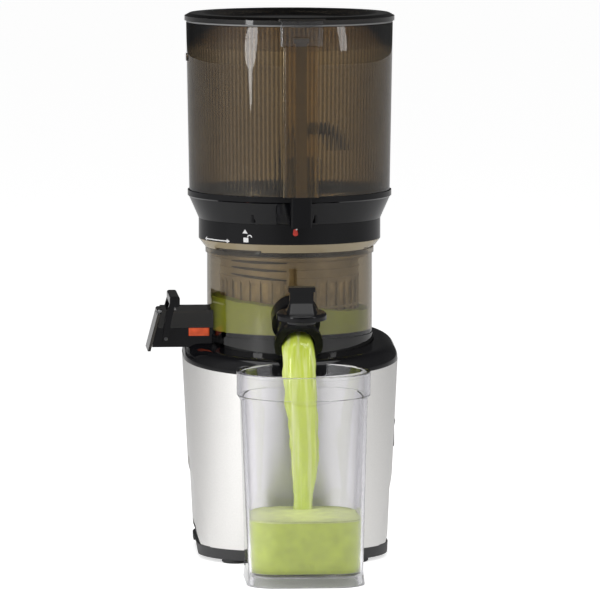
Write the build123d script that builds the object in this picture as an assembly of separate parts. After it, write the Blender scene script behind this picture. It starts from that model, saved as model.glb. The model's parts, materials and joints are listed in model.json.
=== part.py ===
from build123d import *
import os
from math import acos, cos, pi, radians, sin, tan

# Cold press juicer: motor base, lift-off drum with auger and strainer, twist ring, hopper with
# lid, and a juice cup.  Millimetres.  The origin is on the table, on the drive axis.
# +Z is up, -Y is the spout side (front) and -X is the pulp side.

# ---- Base: a rounded box that widens upwards, closed by a rim that slopes to the front ----
BASE_TOP_WIDTH = 179.0
BASE_TOP_DEPTH = 194.0
BASE_TOP_CORNER = 82.0
BASE_FOOT_WIDTH = 162.0
BASE_FOOT_DEPTH = 178.0
BASE_FOOT_CORNER = 60.0
SHELL_FOOT_Z = 12.0
RIM_Z = 166.0
RIM_TILT = 5.0
SHELL_WALL = 3.0
ARCH_DEPTH = 1.4
ARCH_HEIGHT = 80.0
ARCH_HALF_WIDTH = 64.0
NOTCH_TOP_HALF = 28.0
NOTCH_FOOT_HALF = 46.0
NOTCH_TOP_Z = 24.0
NOTCH_DEPTH = 16.0
TRAY_Z = 3.0
TRAY_TOP_Z = 17.0
TRAY_WALL = 2.6
VENT_PITCH = 8.0
VENT_HALF = 16.0
FOOT_X = 50.0
FOOT_Y = 68.0
FOOT_RADIUS = 11.0
FOOT_BORE = 4.0
SCREW_RADIUS = 1.5

# ---- Top cover: a low dome with a round seat for the drum ----
COVER_RISE = 13.0
COVER_ROUND = 11.5
COVER_WALL = 3.0
COVER_SKIRT = 8.0
SKIRT_WALL = 2.2
SEAT_ABOVE_RIM = 4.0
SEAT_GAP = 0.6

# ---- Drum: heights are measured from its floor, radii from its wall ----
DRUM_RADIUS = 69.0
DRUM_WALL = 2.6
DRUM_DEPTH = 77.0
DRUM_FLOOR = 3.0
DRUM_SKIRT = 14.8
DRUM_SKIRT_PROUD = 1.0
DRUM_LIFT_GAP = 0.2
HUB_RADIUS = 14.0
HUB_HEIGHT = 16.0
FLANGE_WIDTH = 1.4
LUG_PROUD = 2.4
LUG_HEIGHT = 4.0
LUG_SWEEP = 38.0
LUG_COUNT = 3
GASKET_HEIGHT = 2.6

# ---- Spout: a short pipe that falls to the front, with a round mouth and a hinged cap ----
SPOUT_FALL = 25.0
SPOUT_REACH = 41.0
MOUTH_DROP = 3.0
MOUTH_RING = 5.0
MOUTH_PROUD = 3.9
SPOUT_BORE = 13.3
SPOUT_WALL = 2.8
SPOUT_LENGTH = 56.0
CAP_THICK = 5.5
CAP_LIFT = 0.6
CAP_OPEN = 110.0
CAP_HINGE_ABOVE = 5.5
CAP_HINGE_BACK = 3.0
CAP_KNUCKLE = 6.0
CAP_TAB_HEIGHT = 20.5
CAP_TAB_THICK = 6.0

# ---- Pulp outlet on the left ----
CHUTE_REACH = 39.0
CHUTE_HALF_WIDTH = 22.0
CHUTE_BELOW_FLOOR = 13.5
CHUTE_SPLIT = 16.0
CHUTE_HEIGHT = 31.0
CHUTE_WALL = 2.4
CHUTE_SLOPE = 8.2
SEAL_PROUD = 1.6
SEAL_DEPTH = 9.6
SEAL_HEIGHT = 6.5
SEAL_LENGTH = 17.3
FLAP_THICK = 2.4
FLAP_GAP = 0.4
FLAP_HINGE_OUT = 1.9
FLAP_OVERHANG = 3.5
FLAP_KNUCKLE_RADIUS = 2.2
FLAP_KNUCKLE_HALF = 8.0
FLAP_LUG_WIDTH = 3.6
LEVER_BAR = 5.0
LEVER_CAP = 8.4
LEVER_CAP_HEIGHT = 9.0
LEVER_GAP = 1.2
LEVER_RISE = 35.5
LEVER_LEAN = 7.5

# ---- Strainer and auger ----
STRAINER_GAP = 8.4
STRAINER_WALL = 2.4
STRAINER_DEPTH = 62.0
STRAINER_RIBS = 36
STRAINER_RAIL = 5.8
RAIL_ANGLE = 266.7
SCREEN_WALL = 0.6
AUGER_GAP = 2.4
AUGER_PITCH = 34.0
AUGER_CORE_TOP = 24.0
FLIGHT_HEIGHT = 56.0
FLIGHT_THICK = 3.0
NECK_RADIUS = 14.5
NECK_OFFSET = 7.0
NECK_RISE = 27.5
WING_REACH = 43.0
WING_RISE = 27.0
SOCKET_RADIUS = 11.0

# ---- Lock ring, hopper and lid ----
RING_PROUD = 7.0
RING_HEIGHT = 23.8
RING_GAP = 0.2
RING_CONE = 7.0
RING_LIP = 1.0
FUNNEL_HEIGHT = 19.0
FUNNEL_LEDGE = 9.0
FLANGE_PROUD = 1.4
FLANGE_HEIGHT = 4.5
PANEL_FROM = 242.0
PANEL_SWEEP = 36.5
PANEL_PROUD = 1.2
FACE_HALF = 8.5
HOPPER_FOOT_RADIUS = 83.8
HOPPER_TOP_RADIUS = 86.2
HOPPER_WALL = 2.6
HOPPER_HEIGHT = 140.0
HOPPER_TURN = 2.4
NUB_BELOW_TOP = 29.0
LID_PROUD = 1.4
LID_GAP = 1.5
LID_THICK = 6.0
LID_SKIRT_INSET = 4.8
LID_SKIRT_DEPTH = 22.0
LID_WALL = 2.2
LID_HINGE_OUT = 5.3
LID_HINGE_DROP = 2.6
LID_KNUCKLE = 7.6
HINGE_LUG = 6.0
HINGE_ROUND = 3.4
CHANNEL_HALF = 14.3
CHANNEL_PROUD = 5.8
CHANNEL_WALL = 2.0
LATCH_HALF = 17.2
LATCH_LENGTH = 20.5
LATCH_OVER_LID = 3.5
ROD_WIDTH = 9.0
ROD_THICK = 2.2
ROD_SLACK = 0.4
SPRING_ROOM = 11.0
SPRING_RADIUS = 1.2
SPRING_PITCH = 2.6
SPRING_WIRE = 0.6

# ---- Cup: squarish at the foot, round at the rim, with a scoop under the spout ----
CUP_FROM_MOUTH = 58.0
CUP_HEIGHT = 171.0
CUP_RIM_RADIUS = 54.3
CUP_WALL = 2.4
CUP_NECK = 19.0
CUP_SHOULDER = 5.0
CUP_NARROWER = 2.8
CUP_BODY_CORNER = 45.0
CUP_FOOT_WIDTH = 93.0
CUP_FOOT_CORNER = 22.0
CUP_FLOOR_Z = 11.0
CUP_FLOOR = 3.5
CUP_FLARE = 1.2
CUP_BEAD = 3.3
SCOOP_GAP = 4.0
SCOOP_CORNER = 6.0

# ---- Drive train: two equal stages, both on one centre distance ----
GEAR_MODULE = 1.0
PINION_TEETH = 12
GEAR_TEETH = 60
GEAR_STUB = 0.75
BACKLASH = 0.18
SHAFT_RADIUS = 8.0
HEX_ACROSS = 13.0
HEX_LENGTH = 16.0
HEX_GAP = 0.25
MOTOR_SHAFT_RADIUS = 4.0
STATOR_RADIUS = 42.0
ROTOR_RADIUS = 20.0
AIR_GAP = 0.8
STATOR_Z = 34.0
STATOR_HEIGHT = 46.0
STATOR_SLOTS = 12
STATOR_BACK = 6.0
GEARBOX_Z = 92.0
GEARBOX_HEIGHT = 38.0
GEARBOX_WALL = 3.0
GEARBOX_END_GAP = 5.25
STAGE_ONE_WIDTH = 8.0
STAGE_TWO_WIDTH = 12.0
STAGE_GAP = 5.0
TOWARDS_INTERMEDIATE = 90.0
TOWARDS_DRIVE = 270.0
BRACKET_THICK = 4.0
BRACKET_GAP = 6.0
LOWER_BEARING_Z = 25.0
BEARING_WIDTH = 7.0
MOTOR_BEARING_RADIUS = 11.0
OUTPUT_BEARING_RADIUS = 16.0
OUTPUT_BEARING_WIDTH = 10.0
BOLT_RADIUS = 2.0
FAN_Z = 12.0
FAN_RADIUS = 30.0
FAN_HEIGHT = 9.0
FAN_BLADES = 9

# ---- Side switch and small hardware ----
SWITCH_Z = 107.0
SWITCH_PROUD = 1.3
SWITCH_HALF_Y = 9.0
SWITCH_HALF_Z = 19.0
SWITCH_DEPTH = 16.0
SWITCH_LIP = 2.0
ROCKER_AXIS = 5.0
ROCKER_TILT = 11.0
INLET_Z = 34.0
INLET_RADIUS = 6.0
CORD_BORE = 3.4
BOARD_WIDTH = 60.0
BOARD_Z = 24.0
BOARD_HEIGHT = 42.0
BOARD_THICK = 1.6
PIN_RADIUS = 1.5
RUNNING_GAP = 0.05
FIT_GAP = 0.3
HAIR = 0.02

# ---- Places that follow from the sizes above ----
SEAT_Z = RIM_Z + SEAT_ABOVE_RIM
SEAT_RADIUS = DRUM_RADIUS + DRUM_SKIRT_PROUD + SEAT_GAP
DRUM_SEAT_Z = SEAT_Z + DRUM_LIFT_GAP
DRUM_UNDERSIDE_Z = DRUM_SEAT_Z + DRUM_SKIRT
DRUM_FLOOR_Z = DRUM_UNDERSIDE_Z + DRUM_FLOOR
DRUM_TOP_Z = DRUM_FLOOR_Z + DRUM_DEPTH
DRUM_BORE = DRUM_RADIUS - DRUM_WALL
HUB_TOP_Z = DRUM_FLOOR_Z + HUB_HEIGHT
LUG_Z = DRUM_TOP_Z - LUG_HEIGHT
LUG_RADIUS = DRUM_RADIUS + LUG_PROUD
RING_FOOT_Z = LUG_Z - LUG_HEIGHT
RING_TOP_Z = RING_FOOT_Z + RING_HEIGHT
RING_RADIUS = DRUM_RADIUS + RING_PROUD
SPIGOT_RADIUS = LUG_RADIUS + 1.0
FUNNEL_FOOT_Z = RING_TOP_Z + RING_GAP
FUNNEL_BORE = DRUM_RADIUS - FUNNEL_LEDGE
FLANGE_Z = FUNNEL_FOOT_Z + FUNNEL_HEIGHT
FLANGE_TOP_Z = FLANGE_Z + FLANGE_HEIGHT
FLANGE_RADIUS = HOPPER_FOOT_RADIUS + FLANGE_PROUD
HOPPER_TOP_Z = FLANGE_TOP_Z + HOPPER_HEIGHT
LID_Z = HOPPER_TOP_Z + LID_GAP
LID_TOP_Z = LID_Z + LID_THICK
LID_RADIUS = HOPPER_TOP_RADIUS + LID_PROUD
LID_SKIRT_RADIUS = HOPPER_TOP_RADIUS - LID_SKIRT_INSET
LID_HINGE_Y = HOPPER_TOP_RADIUS + LID_HINGE_OUT
LID_HINGE_Z = LID_Z - LID_HINGE_DROP
LATCH_TOP_Z = LID_Z + LATCH_OVER_LID
LATCH_FOOT_Z = LATCH_TOP_Z - LATCH_LENGTH
CHANNEL_FACE_Y = -HOPPER_TOP_RADIUS - CHANNEL_PROUD
ROD_Y = CHANNEL_FACE_Y + CHANNEL_WALL + ROD_SLACK
POCKET_FLOOR_Z = FUNNEL_FOOT_Z + 6.0
ROD_FOOT_Z = POCKET_FLOOR_Z + SPRING_ROOM
ROD_TOP_Z = LATCH_FOOT_Z + 6.0

MOUTH_Y = -DRUM_RADIUS - SPOUT_REACH
MOUTH_Z = DRUM_FLOOR_Z - MOUTH_DROP
SPOUT_RADIUS = SPOUT_BORE + SPOUT_WALL
MOUTH_RADIUS = SPOUT_RADIUS + MOUTH_PROUD
CAP_RADIUS = MOUTH_RADIUS + 0.4
CAP_HINGE_UP = MOUTH_RADIUS + CAP_HINGE_ABOVE
CUP_Y = MOUTH_Y - CUP_FROM_MOUTH
CUP_NECK_Z = CUP_HEIGHT - CUP_NECK
CUP_STEP_Z = CUP_NECK_Z - CUP_SHOULDER
CUP_BODY_WIDTH = 2 * (CUP_RIM_RADIUS - CUP_NARROWER)

CHUTE_END_X = -DRUM_RADIUS - CHUTE_REACH
CHUTE_FLOOR_Z = DRUM_FLOOR_Z - CHUTE_BELOW_FLOOR
CHUTE_SPLIT_Z = CHUTE_FLOOR_Z + CHUTE_SPLIT
CHUTE_TOP_Z = CHUTE_FLOOR_Z + CHUTE_HEIGHT
FLAP_HINGE_X = CHUTE_END_X - FLAP_HINGE_OUT
FLAP_HINGE_Z = CHUTE_TOP_Z - FLAP_KNUCKLE_RADIUS
LEVER_PIVOT_X = CHUTE_END_X + 3.0
LEVER_PIVOT_Z = CHUTE_SPLIT_Z - 8.5
LEVER_TOP_Z = LEVER_PIVOT_Z + LEVER_RISE

STRAINER_RADIUS = DRUM_BORE - STRAINER_GAP
STRAINER_BORE = STRAINER_RADIUS - STRAINER_WALL
STRAINER_TOP_Z = DRUM_FLOOR_Z + STRAINER_DEPTH
AUGER_RADIUS = STRAINER_BORE - AUGER_GAP
AUGER_CORE_FOOT = AUGER_RADIUS - 16.2
NECK_TOP_Z = FLANGE_TOP_Z + NECK_RISE
WING_TOP_Z = NECK_TOP_Z + WING_RISE
HEX_Z = HUB_TOP_Z + 2.0
SHAFT_TOP_Z = HEX_Z + HEX_LENGTH
SOCKET_TOP_Z = SHAFT_TOP_Z + 4.0

GEAR_CENTRE = GEAR_MODULE * (PINION_TEETH + GEAR_TEETH) / 2
GEAR_PITCH_RADIUS = GEAR_MODULE * GEAR_TEETH / 2
GEARBOX_ROUND = GEAR_PITCH_RADIUS + GEAR_STUB * GEAR_MODULE + GEARBOX_END_GAP
GEARBOX_TOP_Z = GEARBOX_Z + GEARBOX_HEIGHT
STAGE_ONE_Z = GEARBOX_Z + 2 * GEARBOX_WALL
STAGE_TWO_Z = STAGE_ONE_Z + STAGE_ONE_WIDTH + STAGE_GAP
STATOR_TOP_Z = STATOR_Z + STATOR_HEIGHT
UPPER_BRACKET_Z = STATOR_TOP_Z + BRACKET_GAP
UPPER_BEARING_Z = UPPER_BRACKET_Z - 3.0
FAR = 300.0


# ---------------------------------------------------------------- helpers
def disc(radius, low, high, x=0.0, y=0.0):
    """A cylinder that stands from low to high."""
    return Pos(x, y, (low + high) / 2) * Cylinder(radius, high - low)


def ring(outer, inner, low, high, x=0.0, y=0.0):
    """A tube that stands from low to high."""
    return disc(outer, low, high, x, y) - disc(inner, low - 1, high + 1, x, y)


def block(x0, x1, y0, y1, z0, z1):
    """A box given by its two corners."""
    middle = Pos((x0 + x1) / 2, (y0 + y1) / 2, (z0 + z1) / 2)
    return middle * Box(x1 - x0, y1 - y0, z1 - z0)


def turned(points):
    """A solid of revolution about Z from (radius, height) points."""
    return revolve(Plane.XZ * make_face(Polyline(*points, close=True)), Axis.Z)


def sector(radius, start, sweep, low, high):
    """A pie slice about Z, for cutting or keeping a part of a ring."""
    edge = [(0, 0)]
    steps = max(2, int(sweep / 15) + 1)
    for i in range(steps + 1):
        angle = radians(start + sweep * i / steps)
        edge.append((radius * cos(angle), radius * sin(angle)))
    return extrude(Plane.XY.offset(low) * make_face(Polyline(*edge, close=True)), high - low)


def along_x(radius, x0, x1, y, z):
    """A cylinder that lies along X."""
    return Pos((x0 + x1) / 2, y, z) * Rot(0, 90, 0) * Cylinder(radius, x1 - x0)


def along_y(radius, y0, y1, x, z):
    """A cylinder that lies along Y."""
    return Pos(x, (y0 + y1) / 2, z) * Rot(90, 0, 0) * Cylinder(radius, y1 - y0)


def both_sides(shape):
    """A shape and its mirror image in X."""
    return shape + mirror(shape, Plane.YZ)


def group(shapes):
    """Separate solids that share one node."""
    return Compound(children=[Solid(solid.wrapped) for shape in shapes for solid in shape.solids()])


# ---------------------------------------------------------------- base
def base_size(height, inset):
    """Width, depth and corner radius of the base's outline at a height."""
    share = (height - SHELL_FOOT_Z) / (RIM_Z - SHELL_FOOT_Z)
    width = BASE_FOOT_WIDTH + (BASE_TOP_WIDTH - BASE_FOOT_WIDTH) * share
    depth = BASE_FOOT_DEPTH + (BASE_TOP_DEPTH - BASE_FOOT_DEPTH) * share
    corner = BASE_FOOT_CORNER + (BASE_TOP_CORNER - BASE_FOOT_CORNER) * share
    return width - 2 * inset, depth - 2 * inset, corner - inset


def base_block(low, high, inset):
    """The tapered body of the base between two heights."""
    return loft(
        [
            Plane.XY.offset(low) * RectangleRounded(*base_size(low, inset)),
            Plane.XY.offset(high) * RectangleRounded(*base_size(high, inset)),
        ],
        ruled=True,
    )


def rim_plane(offset=0.0):
    """The sloping plane of the shell's rim."""
    slope = radians(RIM_TILT)
    plane = Plane((0, 0, RIM_Z), x_dir=(1, 0, 0), z_dir=(0, -sin(slope), cos(slope)))
    return plane.offset(offset)


def side_notch(depth, rise):
    """The finger notch low on both sides, as a prism along X."""
    outline = Polyline(
        (-NOTCH_FOOT_HALF - rise, -1),
        (-NOTCH_FOOT_HALF, SHELL_FOOT_Z - rise),
        (-NOTCH_TOP_HALF, NOTCH_TOP_Z - rise),
        (NOTCH_TOP_HALF, NOTCH_TOP_Z - rise),
        (NOTCH_FOOT_HALF, SHELL_FOOT_Z - rise),
        (NOTCH_FOOT_HALF + rise, -1),
        close=True,
    )
    prism = extrude(Plane.YZ * make_face(outline), BASE_TOP_WIDTH)
    keep = block(BASE_FOOT_WIDTH / 2 - depth, BASE_TOP_WIDTH, -FAR / 2, FAR / 2, -2, RIM_Z)
    return both_sides(prism & keep)


def make_base_shell():
    above = extrude(rim_plane() * Rectangle(FAR, FAR), 2 * COVER_RISE)
    top = RIM_Z + COVER_RISE
    body = base_block(SHELL_FOOT_Z, top, 0) - base_block(SHELL_FOOT_Z - 1, top + 1, SHELL_WALL)
    body -= above
    skin = base_block(SHELL_FOOT_Z - 1, top, -1) - base_block(SHELL_FOOT_Z - 2, top + 1, ARCH_DEPTH)
    arch = extrude(Plane.YZ * Ellipse(ARCH_HALF_WIDTH, ARCH_HEIGHT), FAR / 2, both=True)
    body -= skin & arch
    body -= side_notch(SHELL_WALL + NOTCH_DEPTH + 2, 0)
    gap = FIT_GAP
    body -= block(
        BASE_FOOT_WIDTH / 3, FAR / 2,
        -SWITCH_HALF_Y - gap, SWITCH_HALF_Y + gap,
        SWITCH_Z - SWITCH_HALF_Z - gap, SWITCH_Z + SWITCH_HALF_Z + gap,
    )
    body -= along_y(INLET_RADIUS + 1 + gap, 0, BASE_TOP_DEPTH, 0, INLET_Z)
    return body


def cover_block(inset, rise, drop, round_by):
    """The cover's dome as a solid, with the rim's outline shrunk by an inset."""
    width, depth, corner = base_size(RIM_Z, inset)
    outline = RectangleRounded(width, depth / cos(radians(RIM_TILT)), corner)
    solid = extrude(rim_plane(-drop) * outline, rise + drop)
    if round_by:
        upwards = Axis(rim_plane().origin, rim_plane().z_dir)
        solid = fillet(solid.faces().sort_by(upwards)[-1].edges(), round_by)
    return solid


def cover_skirt():
    """The rim under the cover that drops inside the shell."""
    outer = SHELL_WALL + FIT_GAP
    low, high = RIM_Z - 3 * COVER_SKIRT, RIM_Z + 3 * COVER_SKIRT
    skirt = base_block(low, high, outer) - base_block(low - 1, high + 1, outer + SKIRT_WALL)
    return skirt & extrude(rim_plane(-COVER_SKIRT) * Rectangle(FAR, FAR), COVER_SKIRT + 0.5)


def make_top_cover():
    dome = cover_block(0.3, COVER_RISE, 0, COVER_ROUND)
    hollow = cover_block(0.3 + COVER_WALL, COVER_RISE - COVER_WALL, 1, COVER_ROUND - COVER_WALL)
    cup = disc(SEAT_RADIUS + COVER_WALL, SEAT_Z - COVER_WALL, RIM_Z + FAR / 3) & cover_block(
        0.3, COVER_RISE, COVER_SKIRT, COVER_ROUND
    )
    cover = dome - hollow + cover_skirt() + cup
    cover -= disc(SEAT_RADIUS, SEAT_Z, FAR)
    cover += ring(SHAFT_RADIUS + 8, SHAFT_RADIUS + 4, SEAT_Z - 12, SEAT_Z + 3)
    cover -= disc(SHAFT_RADIUS + 4, SEAT_Z - 20, SEAT_Z + 20)
    cover -= block(
        -BASE_TOP_WIDTH, -STRAINER_RADIUS,
        -CHUTE_HALF_WIDTH - 1.5, CHUTE_HALF_WIDTH + 1.5,
        CHUTE_FLOOR_Z - 0.5, FAR,
    )
    return cover


def make_shaft_seal():
    lip = ring(SHAFT_RADIUS + 4, SHAFT_RADIUS + 0.3, SEAT_Z - 4, SEAT_Z + 2)
    return lip - ring(SHAFT_RADIUS + 2.6, SHAFT_RADIUS + 1.4, SEAT_Z - 2, SEAT_Z + 3)


def make_bottom_tray():
    inset = 0.8
    tray = base_block(TRAY_Z, TRAY_TOP_Z, SHELL_WALL + FIT_GAP)
    tray += base_block(TRAY_Z, SHELL_FOOT_Z - 0.2, inset)
    tray -= base_block(TRAY_Z + TRAY_WALL, TRAY_TOP_Z + 1, SHELL_WALL + FIT_GAP + TRAY_WALL)
    lift = SHELL_FOOT_Z - 1
    tray -= side_notch(NOTCH_DEPTH, lift + 2)
    inner_x = BASE_FOOT_WIDTH / 2 - NOTCH_DEPTH - TRAY_WALL
    side = NOTCH_FOOT_HALF + 4
    skin_outer = base_block(TRAY_Z, NOTCH_TOP_Z + 5, SHELL_WALL + FIT_GAP)
    band = block(inner_x, FAR / 2, -side, side, TRAY_Z, NOTCH_TOP_Z + 5)
    skin = skin_outer - base_block(TRAY_Z - 1, NOTCH_TOP_Z + 6, SHELL_WALL + FIT_GAP + TRAY_WALL)
    skin = both_sides(skin & band) - side_notch(NOTCH_DEPTH + 1, lift + 2)
    roof = side_notch(NOTCH_DEPTH + TRAY_WALL, lift) - side_notch(NOTCH_DEPTH, lift + 2)
    roof = roof & base_block(TRAY_Z, NOTCH_TOP_Z, SHELL_WALL + FIT_GAP)
    tray += skin + roof
    for i in range(-3, 4):
        middle = i * VENT_PITCH
        tray -= block(-VENT_HALF, VENT_HALF, middle - 1.5, middle + 1.5, 0, TRAY_Z + TRAY_WALL + 1)
    bore = SCREW_RADIUS + 0.1
    for x, y in foot_places():
        tray += ring(5, bore, TRAY_Z + 1, TRAY_TOP_Z + 4, x, y)
        tray -= disc(bore, 0, TRAY_TOP_Z + 5, x, y)
    return tray


def foot_places():
    return [(x, y) for x in (-FOOT_X, FOOT_X) for y in (-FOOT_Y, FOOT_Y)]


def make_feet():
    feet = []
    for x, y in foot_places():
        foot = turned([
            (FOOT_BORE, 0), (FOOT_RADIUS - 1, 0), (FOOT_RADIUS, 1.2),
            (FOOT_RADIUS - 0.6, TRAY_Z), (FOOT_BORE, TRAY_Z),
        ])
        feet.append(Pos(x, y, 0) * foot)
    return group(feet)


def make_base_screws():
    screws = []
    for x, y in foot_places():
        head = disc(FOOT_BORE - 0.8, TRAY_Z - 2, TRAY_Z, x, y)
        screws.append(disc(SCREW_RADIUS, TRAY_Z - 0.1, TRAY_TOP_Z + 2, x, y) + head)
    return group(screws)


def make_cord_inlet():
    face = base_size(INLET_Z, 0)[1] / 2
    bush = along_y(INLET_RADIUS + 1, face - SHELL_WALL - 2, face + 2.5, 0, INLET_Z)
    bush += along_y(INLET_RADIUS + 3, face - SHELL_WALL - 5, face - SHELL_WALL - 1.5, 0, INLET_Z)
    return bush - along_y(CORD_BORE, face - 20, face + 20, 0, INLET_Z)


def make_control_board():
    """The speed board on its two posts, with a capacitor, a relay and a finned heat sink."""
    y = BASE_FOOT_DEPTH / 2 - 26
    half = BOARD_WIDTH / 2
    board = block(-half, half, y, y + BOARD_THICK, BOARD_Z, BOARD_Z + BOARD_HEIGHT)
    capacitor = along_y(8, y - 18, y, -16, BOARD_Z + BOARD_HEIGHT / 2 + 3)
    relay = block(2, 18, y - 12, y, BOARD_Z + 4, BOARD_Z + 20)
    sink = block(20, 28, y - 12, y, BOARD_Z + 6, BOARD_Z + 36)
    sink -= block(22, 26, y - 13, y - 4, BOARD_Z + 8, BOARD_Z + 37)
    board += capacitor + relay + sink
    for x in (-half + 2, half - 10):
        board += block(x, x + 8, y - 3, y + BOARD_THICK, TRAY_Z + TRAY_WALL, BOARD_Z)
    return board


# ---------------------------------------------------------------- switch
def switch_face():
    """How far out the switch's face stands, just proud of the shell beside it."""
    return base_size(SWITCH_Z, 0)[0] / 2 + SWITCH_PROUD


def make_switch_frame():
    face = switch_face()
    low, high = SWITCH_Z - SWITCH_HALF_Z, SWITCH_Z + SWITCH_HALF_Z
    lip = SWITCH_LIP
    frame = block(face - SWITCH_DEPTH, face, -SWITCH_HALF_Y, SWITCH_HALF_Y, low, high)
    frame -= block(
        face - SWITCH_DEPTH + lip, face + 1, -SWITCH_HALF_Y + lip, SWITCH_HALF_Y - lip, low + lip, high - lip,
    )
    return frame + along_y(PIN_RADIUS, -SWITCH_HALF_Y, SWITCH_HALF_Y, face - ROCKER_AXIS, SWITCH_Z)


def make_rocker():
    half_y = SWITCH_HALF_Y - SWITCH_LIP - FIT_GAP
    reach = SWITCH_HALF_Z - SWITCH_LIP - 2.2
    outline = Polyline(
        (-4, -5.5), (-reach, 3.2), (-reach, 4.6), (0, 3.0), (reach, 4.6), (reach, 3.2), (4, -5.5), close=True,
    )
    side = Plane((0, 0, 0), x_dir=(0, 0, 1), z_dir=(0, -1, 0))
    body = extrude(side * make_face(outline), half_y, both=True)
    body -= along_y(PIN_RADIUS + RUNNING_GAP, -half_y - 1, half_y + 1, 0, 0)
    return Pos(switch_face() - ROCKER_AXIS, 0, SWITCH_Z) * Rot(0, ROCKER_TILT, 0) * body


# ---------------------------------------------------------------- motor
def make_stator():
    low, high = STATOR_Z - 1, STATOR_TOP_Z + 1
    stack = ring(STATOR_RADIUS, ROTOR_RADIUS + AIR_GAP, STATOR_Z, STATOR_TOP_Z)
    slot = block(ROTOR_RADIUS + 3, STATOR_RADIUS - STATOR_BACK, -3.4, 3.4, low, high)
    slot += block(ROTOR_RADIUS, ROTOR_RADIUS + 4, -1.2, 1.2, low, high)
    for i in range(STATOR_SLOTS):
        stack -= Rot(0, 0, 360 * i / STATOR_SLOTS) * slot
    for x, y in bolt_places():
        stack -= disc(BOLT_RADIUS, 0, FAR, x, y)
    return stack


def bolt_places():
    reach = STATOR_RADIUS - BOLT_RADIUS - 1.2
    return [(reach * cos(radians(a)), reach * sin(radians(a))) for a in (45, 135, 225, 315)]


def make_coils():
    end_turn = 5.0
    coil = block(
        ROTOR_RADIUS + 4, STATOR_RADIUS - STATOR_BACK - 1, -3.0, 3.0,
        STATOR_Z - end_turn, STATOR_TOP_Z + end_turn,
    )
    return group([Rot(0, 0, 360 * i / STATOR_SLOTS) * coil for i in range(STATOR_SLOTS)])


def bearing(bore, outer, low, high, x=0.0, y=0.0):
    """A shielded ball bearing: two races and a recessed shield between them."""
    step = (outer - bore) / 3
    races = ring(outer, bore, low, high, x, y)
    for face in (low - 0.1, high - 0.8):
        races -= ring(outer - step, bore + step, face, face + 0.9, x, y)
    return races


def bracket(low, seat_low):
    """A motor end bracket: a spider of four arms with a bearing seat."""
    high = low + BRACKET_THICK
    seat = MOTOR_BEARING_RADIUS + 4
    arm = STATOR_RADIUS - 5
    plate = disc(STATOR_RADIUS + 1, low, high) - ring(STATOR_RADIUS - 8, seat + 1, low - 1, high + 1)
    for angle in (45, 135):
        plate += Rot(0, 0, angle) * block(-arm, arm, -4, 4, low, high)
    plate += disc(seat, seat_low, seat_low + BEARING_WIDTH + 1)
    plate -= disc(MOTOR_BEARING_RADIUS, seat_low, seat_low + BEARING_WIDTH)
    plate -= disc(MOTOR_SHAFT_RADIUS + 1.5, seat_low - 10, seat_low + 20)
    for x, y in bolt_places():
        plate += disc(BOLT_RADIUS + 2.2, low, high, x, y)
        plate -= disc(BOLT_RADIUS, low - 1, high + 1, x, y)
    return plate


def make_lower_bracket():
    """The lower bracket with the four posts that carry the motor on the tray."""
    part = bracket(LOWER_BEARING_Z, LOWER_BEARING_Z)
    post = block(STATOR_RADIUS - 7, STATOR_RADIUS + 1, -4, 4, TRAY_Z + TRAY_WALL, LOWER_BEARING_Z + 1)
    for angle in (0, 90, 180, 270):
        part += Rot(0, 0, angle) * post
    return part


def make_upper_bracket():
    return bracket(UPPER_BRACKET_Z, UPPER_BEARING_Z)


def make_motor_bearings():
    bore = MOTOR_SHAFT_RADIUS + RUNNING_GAP
    seats = (LOWER_BEARING_Z, UPPER_BEARING_Z)
    return group([bearing(bore, MOTOR_BEARING_RADIUS, low, low + BEARING_WIDTH) for low in seats])


def make_motor_bolts():
    top = UPPER_BRACKET_Z + BRACKET_THICK
    bolts = []
    for x, y in bolt_places():
        shank = disc(BOLT_RADIUS - RUNNING_GAP, LOWER_BEARING_Z - 1, top + 1, x, y)
        bolts.append(shank + disc(BOLT_RADIUS + 1.4, top, top + 1.6, x, y))
    return group(bolts)


def make_rotor():
    shaft = disc(MOTOR_SHAFT_RADIUS, FAN_Z - 2, STAGE_ONE_Z - 1)
    core = disc(ROTOR_RADIUS, STATOR_Z + 1, STATOR_TOP_Z - 1)
    bars = 8
    for i in range(bars):
        core -= Rot(0, 0, 360 * i / bars) * disc(2.2, STATOR_Z, STATOR_TOP_Z, ROTOR_RADIUS - 4.5, 0)
    return shaft + core


def make_fan():
    hub_radius = 2 * MOTOR_SHAFT_RADIUS
    fan = ring(hub_radius, MOTOR_SHAFT_RADIUS, FAN_Z, FAN_Z + FAN_HEIGHT)
    fan += ring(FAN_RADIUS, hub_radius - 0.1, FAN_Z, FAN_Z + 1.6)
    blade = Rot(0, 0, 28) * block(-11, 10, -0.8, 0.8, FAN_Z, FAN_Z + FAN_HEIGHT)
    for i in range(FAN_BLADES):
        fan += Rot(0, 0, 360 * i / FAN_BLADES) * Pos(18, 4, 0) * blade
    return fan


# ---------------------------------------------------------------- gears
def involute(angle):
    return tan(angle) - angle


def gear_outline(teeth, tip, root, flank_steps, centre_angle):
    """A spur gear's outline, with a tooth centred on an angle in degrees."""
    pitch_radius = GEAR_MODULE * teeth / 2
    pressure = radians(20)
    base = pitch_radius * cos(pressure)
    half = pi / (2 * teeth) - BACKLASH / (2 * pitch_radius) + involute(pressure)
    start = max(base, root)
    radii = [start + (tip - start) * i / flank_steps for i in range(flank_steps + 1)]
    flank = [(r, half - involute(acos(min(1.0, base / r)))) for r in radii]
    if root < base:
        flank.insert(0, (root, flank[0][1]))
    points = []
    for tooth in range(teeth):
        middle = radians(centre_angle) + 2 * pi * tooth / teeth
        points += [(r * cos(middle - a), r * sin(middle - a)) for r, a in flank]
        points += [(r * cos(middle + a), r * sin(middle + a)) for r, a in reversed(flank)]
    return make_face(Polyline(*points, close=True))


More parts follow.
